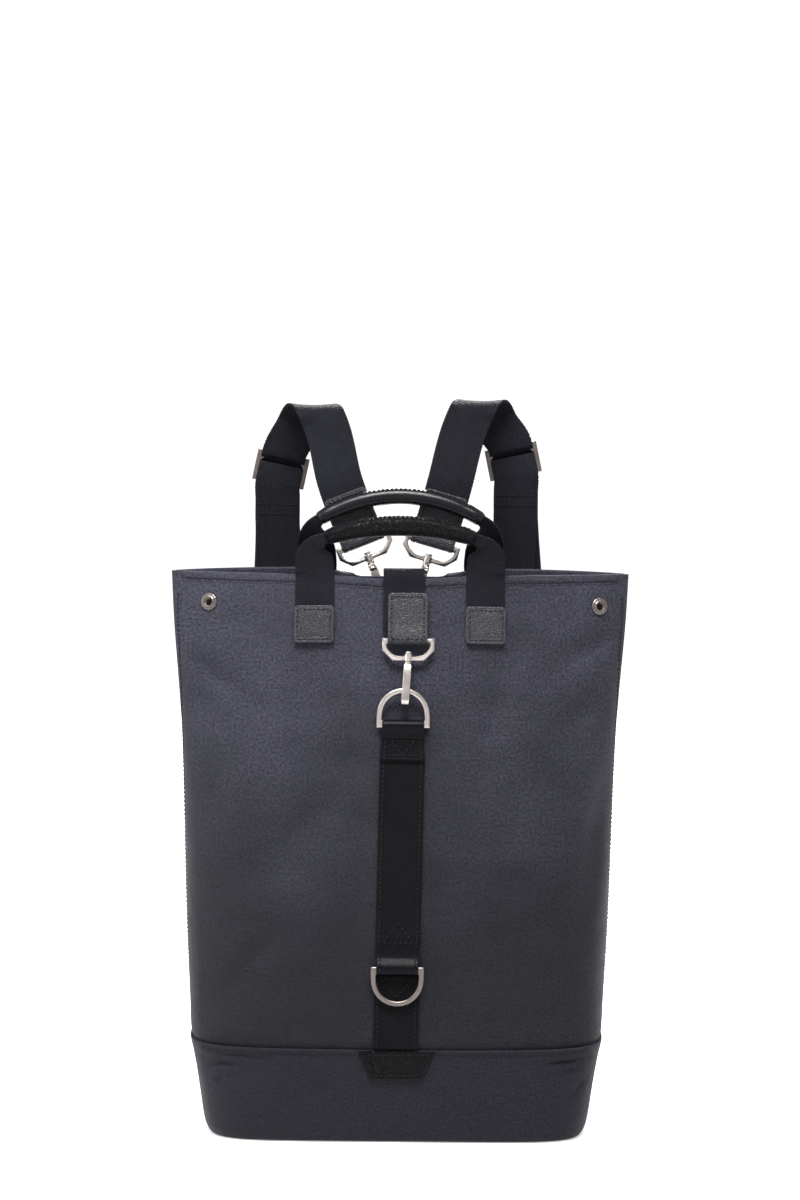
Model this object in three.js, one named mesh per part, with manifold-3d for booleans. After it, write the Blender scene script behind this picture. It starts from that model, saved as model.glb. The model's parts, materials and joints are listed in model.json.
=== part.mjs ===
// A canvas backpack that converts to a tote, standing upright and fastened at the mouth.
// Millimetres, +Z up, the front faces -Y, and the origin is the middle of the base on the ground.
import * as THREE from 'three';
import { mergeVertices } from 'three/addons/utils/BufferGeometryUtils.js';
import Module from 'manifold-3d';

const wasm = await Module();
wasm.setup();

// Driving dimensions of the bag
const bagHeight = 458;
const baseWidth = 312;
const mouthWidth = 374.4;
const baseDepth = 148;
const mouthDepth = 66;
const bellyBulge = 5;
const baseEdgeRadius = 7;
const wall = 2;
const hemWall = 3;
const hemHeight = 14;
const bandHeight = 78;
const bandWall = 2.2;
const bandFloor = 2.5;
const bandLap = 12;
const seamProud = 0.6;
const frontRimDip = 2.6;
const rearRimRise = 1.5;
const rearRimDip = 5.5;
const pinchWidth = 44;
const pinchReach = 60;
const clearance = 0.35;

// Driving dimensions of the webbing and leather
const webbing = 1.6;
const leather = 1.5;
const handleWidth = 31;
const closureWidth = 33;
const closureX = 3.2;
const stripWidth = 36;
const shoulderWidth = 36.5;
const patchWidth = 32.6;
const patchHeight = 29.6;
const patchBottom = bagHeight - 54.4;
const foldWidth = 8.6;
const foldThick = 5;
const frontHandleX = 69;
const rearHandleX = 68.6;

// Driving dimensions of the metal fittings
const closureFrameInner = 34.6;
const shoulderFrameInner = 39.4;
const closureTabWidth = 32.2;
const shoulderTabWidth = 36;
const frameWire = 3.6;
const frameRise = 14.6;
const frameCorner = 7.2;
const ringWire = 4.3;
const ringThick = 3;
const ringInner = 34.4;
const ringReach = 28.3;
const keeperWidth = 33.4;
const keeperInner = 2.9;
const bossRadius = 3.6;
const bossLength = 5.5;
const boreRadius = 2.05;
const postRadius = 1.6;
const hookWidth = 6.3;
const hookLength = 39;
const hookGauge = 3.2;
const hookEye = 2.65;
const noseGauge = 2.8;
const pivotDrop = 9;
const pivotRadius = 0.65;
const pivotBore = 0.95;
const earRadius = 2.1;
const gateLength = 12;
const gateThick = 2.2;
const tongueWidth = 3;
const sliderPitch = 11.5;
const sliderBar = 3.5;
const sliderThick = 2.4;
const sliderRail = 3.2;
const studRadius = 7;
const studDrop = 23.8;
const studInset = 24.6;
const strapRingBar = 1.75;
const strapRingDrop = 12.5;
const frontGripHalf = 59.5;
const rearGripHalf = 65.5;
const shoulderTabReach = 42;
const apexRadius = 18;
const strapRise = 139;
const rearLegY = 82;
const shoulderLean = 5;
const shoulderReach = 28.8;
const labelTop = 61.2;
const labelFoot = 41;
const labelHeight = 23;

// Counts that set how finely curved walls are divided
const columns = 52;
const arcStep = 28;
const gripSpans = 8;

const X = new THREE.Vector3(1, 0, 0);
const Y = new THREE.Vector3(0, 1, 0);
const Z = new THREE.Vector3(0, 0, 1);
const point = (x, y, z) => new THREE.Vector3(x, y, z);
const { lerp, clamp, degToRad, smoothstep } = THREE.MathUtils;

// Finishes
const finishes = {
  canvas: { color: 0x45454f, roughness: 0.8, metalness: 0 },
  bandCanvas: { color: 0x32323b, roughness: 0.8, metalness: 0 },
  darkWebbing: { color: 0x1f1f26, roughness: 0.9, metalness: 0 },
  pebbledLeather: { color: 0x3b3b42, roughness: 0.55, metalness: 0 },
  gripLeather: { color: 0x18181d, roughness: 0.4, metalness: 0 },
  agedNickel: { color: 0x9c9490, roughness: 0.38, metalness: 1 },
  darkNickel: { color: 0x6f6660, roughness: 0.42, metalness: 1 },
};

const bag = new THREE.Group();

function add(name, geometry, finish) {
  const mesh = new THREE.Mesh(geometry, new THREE.MeshStandardMaterial(finishes[finish]));
  mesh.name = name;
  bag.add(mesh);
}

// Closed solids from rings of points

function signedVolume(positions, index) {
  const a = point(0, 0, 0);
  const b = point(0, 0, 0);
  const c = point(0, 0, 0);
  let sum = 0;
  for (let i = 0; i < index.length; i += 3) {
    a.fromArray(positions, 3 * index[i]);
    b.fromArray(positions, 3 * index[i + 1]);
    c.fromArray(positions, 3 * index[i + 2]);
    sum += a.dot(b.cross(c)) / 6;
  }
  return sum;
}

function closedGeometry(positions, index) {
  if (signedVolume(positions, index) < 0) {
    for (let i = 0; i < index.length; i += 3) {
      const swap = index[i + 1];
      index[i + 1] = index[i + 2];
      index[i + 2] = swap;
    }
  }
  const geometry = new THREE.BufferGeometry();
  geometry.setAttribute('position', new THREE.Float32BufferAttribute(positions, 3));
  geometry.setIndex(index);
  geometry.computeVertexNormals();
  return geometry;
}

// Rings of equal count are joined in order. A looped loft joins its last ring to its first,
// and any other is closed by a fan on each end ring. Where crossed(ring, side) is true a quad is
// split along its other diagonal, so that the two faces of a thin wall bend alike.
function loft(rings, looped = false, crossed = () => false) {
  const count = rings[0].length;
  const positions = rings.flat().flatMap((p) => [p.x, p.y, p.z]);
  const index = [];
  const steps = looped ? rings.length : rings.length - 1;
  for (let r = 0; r < steps; r += 1) {
    const low = r * count;
    const high = ((r + 1) % rings.length) * count;
    for (let i = 0; i < count; i += 1) {
      const next = (i + 1) % count;
      if (crossed(r, i)) index.push(low + i, low + next, high + i, low + next, high + next, high + i);
      else index.push(low + i, low + next, high + next, low + i, high + next, high + i);
    }
  }
  if (!looped) {
    const fans = [[rings[0], 0, true], [rings.at(-1), (rings.length - 1) * count, false]];
    for (const [ring, first, flipped] of fans) {
      const middle = ring.reduce((sum, p) => sum.add(p), point(0, 0, 0)).divideScalar(count);
      const hub = positions.length / 3;
      positions.push(middle.x, middle.y, middle.z);
      for (let i = 0; i < count; i += 1) {
        const next = (i + 1) % count;
        index.push(...(flipped ? [hub, first + next, first + i] : [hub, first + i, first + next]));
      }
    }
  }
  return closedGeometry(positions, index);
}

// Cuts and joins

function solidOf(geometry) {
  const bare = geometry.clone();
  for (const name of Object.keys(bare.attributes)) {
    if (name !== 'position') bare.deleteAttribute(name);
  }
  const merged = mergeVertices(bare, 1e-4);
  const triangles = [];
  for (let i = 0; i < merged.index.count; i += 3) {
    const [a, b, c] = [merged.index.getX(i), merged.index.getX(i + 1), merged.index.getX(i + 2)];
    if (a !== b && b !== c && c !== a) triangles.push(a, b, c);
  }
  if (signedVolume(merged.attributes.position.array, triangles) < 0) triangles.reverse();
  return new wasm.Manifold(new wasm.Mesh({
    numProp: 3,
    vertProperties: new Float32Array(merged.attributes.position.array),
    triVerts: new Uint32Array(triangles),
  }));
}

function geometryOf(solid) {
  const mesh = solid.getMesh();
  return closedGeometry(Array.from(mesh.vertProperties), Array.from(mesh.triVerts));
}

const joined = (...geometries) => geometries.map(solidOf).reduce((whole, next) => whole.add(next));
const cut = (solid, ...geometries) => (
  geometries.map(solidOf).reduce((rest, next) => rest.subtract(next), solid));

// Local places. A basis has its own across, out and down directions, and at() turns local
// lengths in that order into a point of the bag.

function basis(origin, down, outHint) {
  const along = down.clone().normalize();
  const across = along.clone().cross(outHint).normalize();
  const out = across.clone().cross(along).normalize();
  if (across.x < 0) across.negate();
  const at = (u, n, d) => origin.clone()
    .addScaledVector(across, u).addScaledVector(out, n).addScaledVector(along, d);
  return { origin, across, out, down: along, at };
}

function placed(geometry, place) {
  const { across, out, down } = place;
  const turn = new THREE.Matrix4().makeBasis(across, out, down).setPosition(place.origin);
  const moved = geometry.clone().applyMatrix4(turn);
  return turn.determinant() < 0 ? geometryOf(solidOf(moved)) : moved;
}

// A rod of given radius along the local across, out or down direction
function rod(radius, length, middle, axis, sides = 12) {
  const geometry = new THREE.CylinderGeometry(radius, radius, length, sides);
  if (axis === 'across') geometry.rotateZ(Math.PI / 2);
  if (axis === 'down') geometry.rotateX(Math.PI / 2);
  return geometry.translate(...middle);
}

function block(width, thick, length, middle) {
  return new THREE.BoxGeometry(width, thick, length).translate(...middle);
}

// A plate whose outline lies in the local out and down directions, centred on the across axis
function sidePlate(outline, width, bevel) {
  const shape = new THREE.Shape(outline.map(([n, d]) => new THREE.Vector2(n, d)));
  const geometry = new THREE.ExtrudeGeometry(shape, {
    depth: width - 2 * bevel,
    bevelEnabled: bevel > 0,
    bevelThickness: bevel,
    bevelSize: bevel,
    bevelOffset: -bevel,
    bevelSegments: 1,
  });
  geometry.translate(0, 0, bevel - width / 2);
  const order = new THREE.Matrix4().makeBasis(Y, Z, X);
  return geometry.applyMatrix4(order);
}

// The bag's own surface. Each row is a level of the bag: up is its share of bagHeight, wide
// the share of the way from the base's half width to the mouth's, belly a share of bellyBulge,
// shut the share of the way from the base's half depth to the mouth's, and side and face the
// exponents that make the outline boxy when large and a lens when small.
const levels = [
  { up: 0.000, wide: 0.000, belly: 0.00, backBelly: 0.00, shut: 0.00, backShut: 0.00, side: 6.5, face: 6.0 },
  { up: 0.044, wide: 0.110, belly: 0.35, backBelly: 0.25, shut: 0.00, backShut: 0.00, side: 6.3, face: 5.8 },
  { up: 0.083, wide: 0.190, belly: 0.62, backBelly: 0.45, shut: 0.00, backShut: 0.00, side: 6.0, face: 5.5 },
  { up: 0.129, wide: 0.305, belly: 0.85, backBelly: 0.65, shut: 0.00, backShut: 0.00, side: 5.5, face: 5.0 },
  { up: 0.170, wide: 0.430, belly: 1.00, backBelly: 0.80, shut: 0.00, backShut: 0.00, side: 5.0, face: 4.6 },
  { up: 0.220, wide: 0.455, belly: 1.00, backBelly: 0.80, shut: 0.01, backShut: 0.02, side: 4.6, face: 4.1 },
  { up: 0.328, wide: 0.550, belly: 0.90, backBelly: 0.60, shut: 0.04, backShut: 0.07, side: 3.9, face: 3.3 },
  { up: 0.437, wide: 0.610, belly: 0.70, backBelly: 0.35, shut: 0.11, backShut: 0.16, side: 3.4, face: 2.8 },
  { up: 0.546, wide: 0.645, belly: 0.50, backBelly: 0.20, shut: 0.20, backShut: 0.29, side: 3.0, face: 2.5 },
  { up: 0.655, wide: 0.690, belly: 0.35, backBelly: 0.10, shut: 0.33, backShut: 0.45, side: 2.75, face: 2.2 },
  { up: 0.764, wide: 0.770, belly: 0.20, backBelly: 0.00, shut: 0.50, backShut: 0.64, side: 2.5, face: 1.95 },
  { up: 0.840, wide: 0.860, belly: 0.10, backBelly: 0.00, shut: 0.63, backShut: 0.80, side: 2.4, face: 1.75 },
  { up: 0.917, wide: 0.950, belly: 0.00, backBelly: 0.00, shut: 0.79, backShut: 0.95, side: 2.3, face: 1.55 },
  { up: 1.000, wide: 1.000, belly: 0.00, backBelly: 0.00, shut: 1.00, backShut: 1.00, side: 2.2, face: 1.3 },
];

// Soft folds and dents. Places are shares of half the mouth's width and of bagHeight, length and
// breadth are shares of bagHeight, lean is in degrees from level, and depth is in shares of
// mouthDepth, with dents going into the bag.
const folds = [
  { side: 'front', x: -0.83, up: 0.812, length: 0.085, breadth: 0.026, lean: -36, depth: 0.075 },
  { side: 'front', x: -0.78, up: 0.855, length: 0.080, breadth: 0.026, lean: -34, depth: -0.050 },
  { side: 'front', x: -0.88, up: 0.650, length: 0.080, breadth: 0.024, lean: -66, depth: 0.060 },
  { side: 'front', x: 0.86, up: 0.855, length: 0.070, breadth: 0.026, lean: 28, depth: 0.060 },
  { side: 'front', x: 0.84, up: 0.760, length: 0.060, breadth: 0.026, lean: 48, depth: 0.055 },
  { side: 'front', x: -0.70, up: 0.365, length: 0.060, breadth: 0.026, lean: 52, depth: 0.045 },
  { side: 'front', x: 0.78, up: 0.480, length: 0.170, breadth: 0.045, lean: 84, depth: 0.050 },
  { side: 'rear', x: -0.72, up: 0.800, length: 0.090, breadth: 0.030, lean: -30, depth: 0.060 },
  { side: 'rear', x: 0.74, up: 0.780, length: 0.090, breadth: 0.030, lean: 34, depth: 0.060 },
];

function levelValue(key, up) {
  let high = 1;
  while (high < levels.length - 1 && levels[high].up < up) high += 1;
  const low = high - 1;
  const slope = (row) => {
    const before = levels[Math.max(row - 1, 0)];
    const after = levels[Math.min(row + 1, levels.length - 1)];
    return (after[key] - before[key]) / (after.up - before.up);
  };
  const span = levels[high].up - levels[low].up;
  const t = clamp((up - levels[low].up) / span, 0, 1);
  const rise = levels[high][key] - levels[low][key];
  const startBend = slope(low) * span - rise;
  const endBend = rise - slope(high) * span;
  return levels[low][key] + t * rise + t * (1 - t) * (startBend * (1 - t) + endBend * t);
}

function edgeInset(z) {
  const short = clamp(1 - z / baseEdgeRadius, 0, 1);
  return baseEdgeRadius * (1 - Math.sqrt(1 - short * short));
}

function halfWidth(z) {
  const spread = levelValue('wide', clamp(z / bagHeight, 0, 1));
  return lerp(baseWidth, mouthWidth, spread) / 2 - edgeInset(z);
}

function halfDepth(side, z) {
  const up = clamp(z / bagHeight, 0, 1);
  const [belly, shut] = side === 'front' ? ['belly', 'shut'] : ['backBelly', 'backShut'];
  return lerp(baseDepth, mouthDepth, levelValue(shut, up)) / 2
    + bellyBulge * levelValue(belly, up) - edgeInset(z);
}

// How far the closure strap pulls the rear panel towards the front
function pinch(x, z) {
  const rimGap = 2 * hemWall + 0.5;
  const pull = mouthDepth - rimGap;
  const aside = Math.exp(-((Math.abs(x) / pinchWidth) ** 4));
  const down = Math.exp(-((Math.max(bagHeight - z, 0) / pinchReach) ** 2));
  return pull * aside * down;
}

function foldDepth(side, x, z) {
  let depth = 0;
  for (const fold of folds.filter((row) => row.side === side)) {
    const right = x - fold.x * mouthWidth / 2;
    const above = z - fold.up * bagHeight;
    const turn = degToRad(fold.lean);
    const along = (right * Math.cos(turn) + above * Math.sin(turn)) / (fold.length * bagHeight);
    const across = (above * Math.cos(turn) - right * Math.sin(turn)) / (fold.breadth * bagHeight);
    depth += fold.depth * mouthDepth * Math.exp(-along * along - across * across);
  }
  return depth;
}

// Y of the outer face at a place of the front or rear panel
function panelY(side, x, z) {
  const up = clamp(z / bagHeight, 0, 1);
  const share = Math.min(Math.abs(x) / halfWidth(z), 1);
  const round = (1 - share ** levelValue('side', up)) ** (1 / levelValue('face', up));
  const edge = smoothstep(1 - share, 0, 0.06);
  const depth = halfDepth(side, z) * round - foldDepth(side, x, z) * edge;
  return side === 'front' ? -depth : depth - pinch(x, z) * edge;
}

// Height that the rim adds at a place of a panel
function rimLift(side, x) {
  const aside = Math.exp(-((x / (1.2 * pinchWidth)) ** 2));
  const corner = 1 - Math.min(Math.abs(x) / (mouthWidth / 2), 1) ** 4;
  if (side === 'front') return -frontRimDip * aside;
  return rearRimRise * corner - rearRimDip * aside;
}

// Half an outline from the left side seam to the right one, spread evenly along its length
function halfOutline(side, z) {
  const samples = 360;
  const half = halfWidth(z);
  const dense = [];
  for (let i = 0; i <= samples; i += 1) {
    const x = -half * Math.cos(Math.PI * i / samples);
    const end = i === 0 || i === samples;
    dense.push(new THREE.Vector2(x, end ? 0 : panelY(side, x, z)));
  }
  const lengths = [0];
  for (let i = 1; i <= samples; i += 1) lengths.push(lengths[i - 1] + dense[i].distanceTo(dense[i - 1]));
  const even = [];
  let at = 1;
  for (let i = 0; i <= columns / 2; i += 1) {
    const target = lengths.at(-1) * 2 * i / columns;
    while (at < samples && lengths[at] < target) at += 1;
    const share = (target - lengths[at - 1]) / (lengths[at] - lengths[at - 1]);
    even.push(dense[at - 1].clone().lerp(dense[at], share));
  }
  return even;
}

// A whole outline at a height, moved in by inset along its own normals
function outlineRing(z, inset) {
  const front = halfOutline('front', z);
  const rear = halfOutline('rear', z).reverse();
  const flat = [...front.slice(0, -1), ...rear.slice(0, -1)];
  const rimShare = smoothstep(z / bagHeight, 0.8, 1) * (z / bagHeight);
  return flat.map((here, i) => {
    const before = flat[(i + flat.length - 1) % flat.length];
    const after = flat[(i + 1) % flat.length];
    const inA = here.clone().sub(before).normalize();
    const inB = after.clone().sub(here).normalize();
    const normal = new THREE.Vector2(-inA.y - inB.y, inA.x + inB.x).normalize();
    const mitre = Math.min(1 / Math.max(normal.dot(new THREE.Vector2(-inA.y, inA.x)), 0.5), 1.6);
    const side = i <= front.length - 1 ? 'front' : 'rear';
    const lift = rimLift(side, here.x) * rimShare;
    return point(here.x + normal.x * inset * mitre, here.y + normal.y * inset * mitre, z + lift);
  });
}

// The upper panels: a tube of cloth whose lower edge tucks inside the base band
function bodyGeometry() {
  const tuck = bandWall + clearance;
  const panelTop = bagHeight - bandHeight;
  const shares = [0.006, 0.065, 0.155, 0.27, 0.4, 0.52, 0.62, 0.7, 0.77, 0.84, 0.905];
  const tucked = [bandHeight - bandLap, bandHeight + clearance];
  const heights = [...shares.map((share) => bandHeight + share * panelTop), bagHeight - hemHeight / 2];
  const outside = [
    ...tucked.map((z) => outlineRing(z, tuck)),
    ...heights.map((z) => outlineRing(z, 0)),
    outlineRing(bagHeight, 0),
  ];
  const inside = [
    outlineRing(bagHeight, hemWall),
    ...[...heights].reverse().map((z) => outlineRing(z, z > bagHeight - hemHeight ? hemWall : wall)),
    ...[...tucked].reverse().map((z) => outlineRing(z, tuck + wall)),
  ];
  return loft([...outside, ...inside], true, (row) => row >= outside.length);
}

// The base band: a cup of darker cloth with the floor of the bag
function bandGeometry() {
  const shares = [0, 0.015, 0.085, 0.3, 0.6, 1 - bandLap / bandHeight];
  const outer = shares.map((share) => outlineRing(share * bandHeight, 0));
  const lip = [outlineRing(bandHeight - 4, -seamProud * 0.7), outlineRing(bandHeight - 0.8, -seamProud)];
  const top = [outlineRing(bandHeight, -seamProud * 0.4), outlineRing(bandHeight, bandWall)];
  const inner = [bandHeight - bandLap, 0.6 * bandHeight, 0.3 * bandHeight, bandFloor]
    .map((z) => outlineRing(z, bandWall));
  const turnRow = outer.length + lip.length + 1;
  return loft([...outer, ...lip, ...top, ...inner], false, (row) => row >= turnRow);
}

add('bag_body', bodyGeometry(), 'canvas');
add('base_band', bandGeometry(), 'bandCanvas');

// Places on a panel. The seat is lifted so that a flat width lies clear of the cloth everywhere.
function seat(side, x, z, width, lift) {
  const sign = side === 'front' ? -1 : 1;
  const onPanel = (dx, dz) => point(x + dx, panelY(side, x + dx, z + dz), z + dz);
  const across = onPanel(width / 2, 0).sub(onPanel(-width / 2, 0)).normalize();
  const up = onPanel(0, 3).sub(onPanel(0, -3)).normalize();
  const out = across.clone().cross(up).normalize();
  if (out.y * sign < 0) out.negate();
  const middle = onPanel(0, 0);
  let proud = 0;
  for (let i = -4; i <= 4; i += 1) {
    proud = Math.max(proud, onPanel(i * width / 8, 0).sub(middle).dot(out));
  }
  return { at: middle.addScaledVector(out, proud + lift), across, out, up };
}

// A place whose whole level width clears the rear panel, at a distance from the proudest cloth
function behindPanel(x, z, width, off) {
  let proud = 0;
  for (let i = -4; i <= 4; i += 1) proud = Math.max(proud, panelY('rear', x + i * width / 8, z));
  return point(x, proud + off, z);
}

// Flat bands of webbing or leather. A station has a place and the direction its face looks in.
function ribbon(stations, widthAt, thickAt) {
  const lengths = [0];
  for (let i = 1; i < stations.length; i += 1) {
    lengths.push(lengths[i - 1] + stations[i].at.distanceTo(stations[i - 1].at));
  }
  const rings = stations.map((station, i) => {
    const before = stations[Math.max(i - 1, 0)].at;
    const after = stations[Math.min(i + 1, stations.length - 1)].at;
    const stepA = station.at.clone().sub(before).normalize();
    const stepB = after.clone().sub(station.at).normalize();
    const along = stepA.clone().add(stepB).normalize();
    const bend = Math.max(along.dot(i > 0 ? stepA : stepB), 0.7);
    const across = along.clone().cross(station.face).normalize();
    const face = across.clone().cross(along).normalize();
    const share = lengths[i] / lengths.at(-1);
    const halfW = widthAt(share, station) / 2;
    const halfT = thickAt(share, station) / 2 / bend;
    return [[-1, -1], [1, -1], [1, 1], [-1, 1]].map(([w, t]) => station.at.clone()
      .addScaledVector(across, w * halfW).addScaledVector(face, t * halfT));
  });
  return loft(rings, false, (row, edge) => edge > 1);
}

const even = (value) => () => value;

// Stations of an arc about a centre, from one angle to another, in a plane of two directions
function arcStations(centre, first, second, radius, from, to) {
  const steps = Math.max(2, Math.ceil(Math.abs(to - from) / arcStep));
  const list = [];
  for (let i = 0; i <= steps; i += 1) {
    const angle = degToRad(lerp(from, to, i / steps));
    const face = first.clone().multiplyScalar(Math.cos(angle)).addScaledVector(second, Math.sin(angle));
    list.push({ at: centre.clone().addScaledVector(face, radius), face });
  }
  return list;
}

// Closed wire rings from a flat outline, mitred at its corners, and swept by a chamfered section
function wireLoop(outline, width, thick, place) {
  const chamfer = 0.28 * Math.min(width, thick);
  const section = [
    [width / 2, thick / 2 - chamfer], [width / 2 - chamfer, thick / 2],
    [chamfer - width / 2, thick / 2], [-width / 2, thick / 2 - chamfer],
    [-width / 2, chamfer - thick / 2], [chamfer - width / 2, -thick / 2],
    [width / 2 - chamfer, -thick / 2], [width / 2, chamfer - thick / 2],
  ];
  const rings = outline.map(([u, d], i) => {
    const [beforeU, beforeD] = outline[(i + outline.length - 1) % outline.length];
    const [afterU, afterD] = outline[(i + 1) % outline.length];
    const inA = new THREE.Vector2(u - beforeU, d - beforeD).normalize();
    const inB = new THREE.Vector2(afterU - u, afterD - d).normalize();
    const normal = new THREE.Vector2(inA.y + inB.y, -inA.x - inB.x).normalize();
    const mitre = 1 / normal.dot(new THREE.Vector2(inA.y, -inA.x));
    return section.map(([a, b]) => place.at(u + normal.x * a * mitre, b, d + normal.y * a * mitre));
  });
  return loft(rings, true);
}

// A D-ring: its bar lies at the local origin, and the bow reaches up from it against down
const ringHalf = (ringInner + ringWire) / 2;
const ringLeg = ringReach - ringHalf;

function dRing(place) {
  const outline = [[ringHalf, 0]];
  const steps = 10;
  for (let i = 0; i <= steps; i += 1) {
    const angle = Math.PI * i / steps;
    outline.push([ringHalf * Math.cos(angle), -ringLeg - ringHalf * Math.sin(angle)]);
  }
  outline.push([-ringHalf, 0]);
  return wireLoop(outline, ringWire, ringThick, place);
}

// A swivel frame: its strap bar lies at the local origin, and its boss sits below the bar
function swivelFrame(place, inner) {
  const half = (inner + frameWire) / 2;
  const outline = [
    [half, 0],
    [half, frameRise - frameCorner],
    [half - frameCorner, frameRise],
    [-(half - frameCorner), frameRise],
    [-half, frameRise - frameCorner],
    [-half, 0],
  ];
  const wire = wireLoop(outline, frameWire, frameWire, place);
  const boss = placed(rod(bossRadius, bossLength, [0, 0, frameRise], 'down', 12), place);
  const bore = placed(rod(boreRadius, 2 * bossLength, [0, 0, frameRise], 'down', 10), place);
  return geometryOf(cut(joined(wire, boss), bore));
}

// The snap hook. Local lengths run out and down from the middle of the boss.
const spineInner = hookEye - 0.25;
const spineOuter = spineInner + hookGauge;
const bowlMiddle = spineInner - hookEye;
const noseInner = bowlMiddle - hookEye;
const noseOuter = noseInner - noseGauge;
const bowlDrop = hookLength - hookEye - hookGauge;
const pivotOut = (noseInner + noseOuter) / 2;
const headGap = 0.45;
const collarDrop = bossLength / 2 + headGap;
const neckDrop = collarDrop + 2.2;
const noseDrop = pivotDrop + gateLength;

function hookOutline() {
  const outline = [
    [spineOuter, neckDrop + 2],
    [spineOuter, bowlDrop],
  ];
  const bowl = 6;
  for (let i = 1; i < bowl; i += 1) {
    const angle = Math.PI * i / bowl;
    const middle = (spineOuter + noseOuter) / 2;
    const radius = (spineOuter - noseOuter) / 2;
    outline.push([middle + radius * Math.cos(angle), bowlDrop + radius * Math.sin(angle)]);
  }
  outline.push([noseOuter, bowlDrop], [noseOuter, noseDrop + 1.4], [noseOuter + 0.8, noseDrop + 0.3]);
  outline.push([noseInner - 0.6, noseDrop + 0.3], [noseInner, noseDrop + 1.2], [noseInner, bowlDrop]);
  for (let i = 1; i < bowl; i += 1) {
    const angle = Math.PI * (1 - i / bowl);
    outline.push([bowlMiddle + hookEye * Math.cos(angle), bowlDrop + hookEye * Math.sin(angle)]);
  }
  outline.push([spineInner, bowlDrop], [spineInner, pivotDrop + 3.2], [spineInner - 1, pivotDrop + 1.2]);
  outline.push([pivotOut + 2.2, pivotDrop + 0.8]);
  for (const angle of [60, 110, 160, 210, 255]) {
    const turn = degToRad(angle);
    outline.push([pivotOut + earRadius * Math.cos(turn), pivotDrop + earRadius * Math.sin(turn)]);
  }
  outline.push([pivotOut + 1.2, neckDrop], [spineOuter - 1.4, neckDrop]);
  return outline;
}

function snapHook(place) {
  const blade = sidePlate(hookOutline(), hookWidth, 0.5);
  const headDrop = -collarDrop - 0.9;
  const collar = rod(3.1, neckDrop - collarDrop + 0.6, [0, 0, (neckDrop + collarDrop + 0.6) / 2], 'down', 10);
  const post = rod(postRadius, neckDrop - headDrop, [0, 0, (neckDrop + headDrop) / 2], 'down', 8);
  const head = rod(2.9, 1.8, [0, 0, headDrop], 'down', 10);
  const slotWidth = tongueWidth + 0.7;
  const slotLength = 2 * earRadius + 2;
  const slot = block(slotWidth, 2 * earRadius + 1, slotLength, [0, pivotOut - 0.2, pivotDrop + 0.3]);
  const pin = rod(pivotRadius, hookWidth - 1.2, [0, pivotOut, pivotDrop], 'across', 8);
  const whole = cut(joined(blade, collar, post, head), slot).add(solidOf(pin));
  return placed(geometryOf(whole), place);
}

function hookGate(place) {
  const half = gateThick / 2;
  const start = pivotDrop + earRadius + 0.6;
  const lever = sidePlate([
    [pivotOut - half, start], [pivotOut + half, start],
    [pivotOut + half, noseDrop], [pivotOut - half, noseDrop],
  ], hookWidth, 0.4);
  const knuckle = rod(earRadius - 0.3, tongueWidth, [0, pivotOut, pivotDrop], 'across', 10);
  const neckFoot = start + 0.8;
  const neck = block(tongueWidth, gateThick, neckFoot - pivotDrop, [0, pivotOut, (neckFoot + pivotDrop) / 2]);
  const bore = rod(pivotBore, 2 * tongueWidth, [0, pivotOut, pivotDrop], 'across', 8);
  return placed(geometryOf(cut(joined(lever, knuckle, neck), bore)), place);
}

// A band folded round a bar at the local origin, its two layers running back against down
const tabRadius = frameWire / 2 + clearance + leather / 2;
const tabHalf = webbing / 2 + clearance + leather / 2;

function foldedBand(place, fold) {
  const away = place.down.clone().negate();
  const station = (n, d, sign) => ({ at: place.at(0, n, d), face: place.out.clone().multiplyScalar(sign) });
  const ease = 4 * fold.radius;
  const stations = [
    station(fold.half, -fold.front, 1),
    station(fold.half, -ease, 1),
    ...arcStations(place.origin, place.out, away, fold.radius, 0, -180),
    station(-fold.half, -ease, -1),
    station(-fold.half, -fold.back, -1),
  ];
  return ribbon(stations, even(fold.width), even(fold.thick));
}

function leatherTab(place, width, front, back) {
  return foldedBand(place, { width, thick: leather, radius: tabRadius, half: tabHalf, front, back });
}

// Closure: a band of webbing over the mouth, a leather tab, a swivel frame and a snap hook
const closureTabX = 6.4;
const closureFrameX = 7;
const closureBarZ = bagHeight - 51.8;
const closureBarOff = 5.2;
const closureTabTop = closureBarZ + 38.4;
const closureHookOff = 9.6;
const closureLean = 3.6;
const closureRingX = 3.4;
const closureRingDrop = 26;

function onFront(x, z, off) {
  const { at, out } = seat('front', x, z, 1, 0);
  return at.addScaledVector(out, off);
}

const tabTopPoint = onFront(closureTabX, closureTabTop, clearance + leather + clearance + webbing / 2);
const barPoint = onFront(closureTabX, closureBarZ, closureBarOff);
const closureTab = basis(barPoint, barPoint.clone().sub(tabTopPoint).setX(0), Y.clone().negate());
const hookEndPoint = onFront(closureFrameX, closureBarZ - 51, closureHookOff);
const closureFrame = basis(
  barPoint.clone().setX(closureFrameX),
  hookEndPoint.clone().sub(barPoint).setX(0),
  Y.clone().negate(),
);
const tabReach = closureTabTop - closureBarZ;

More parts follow.
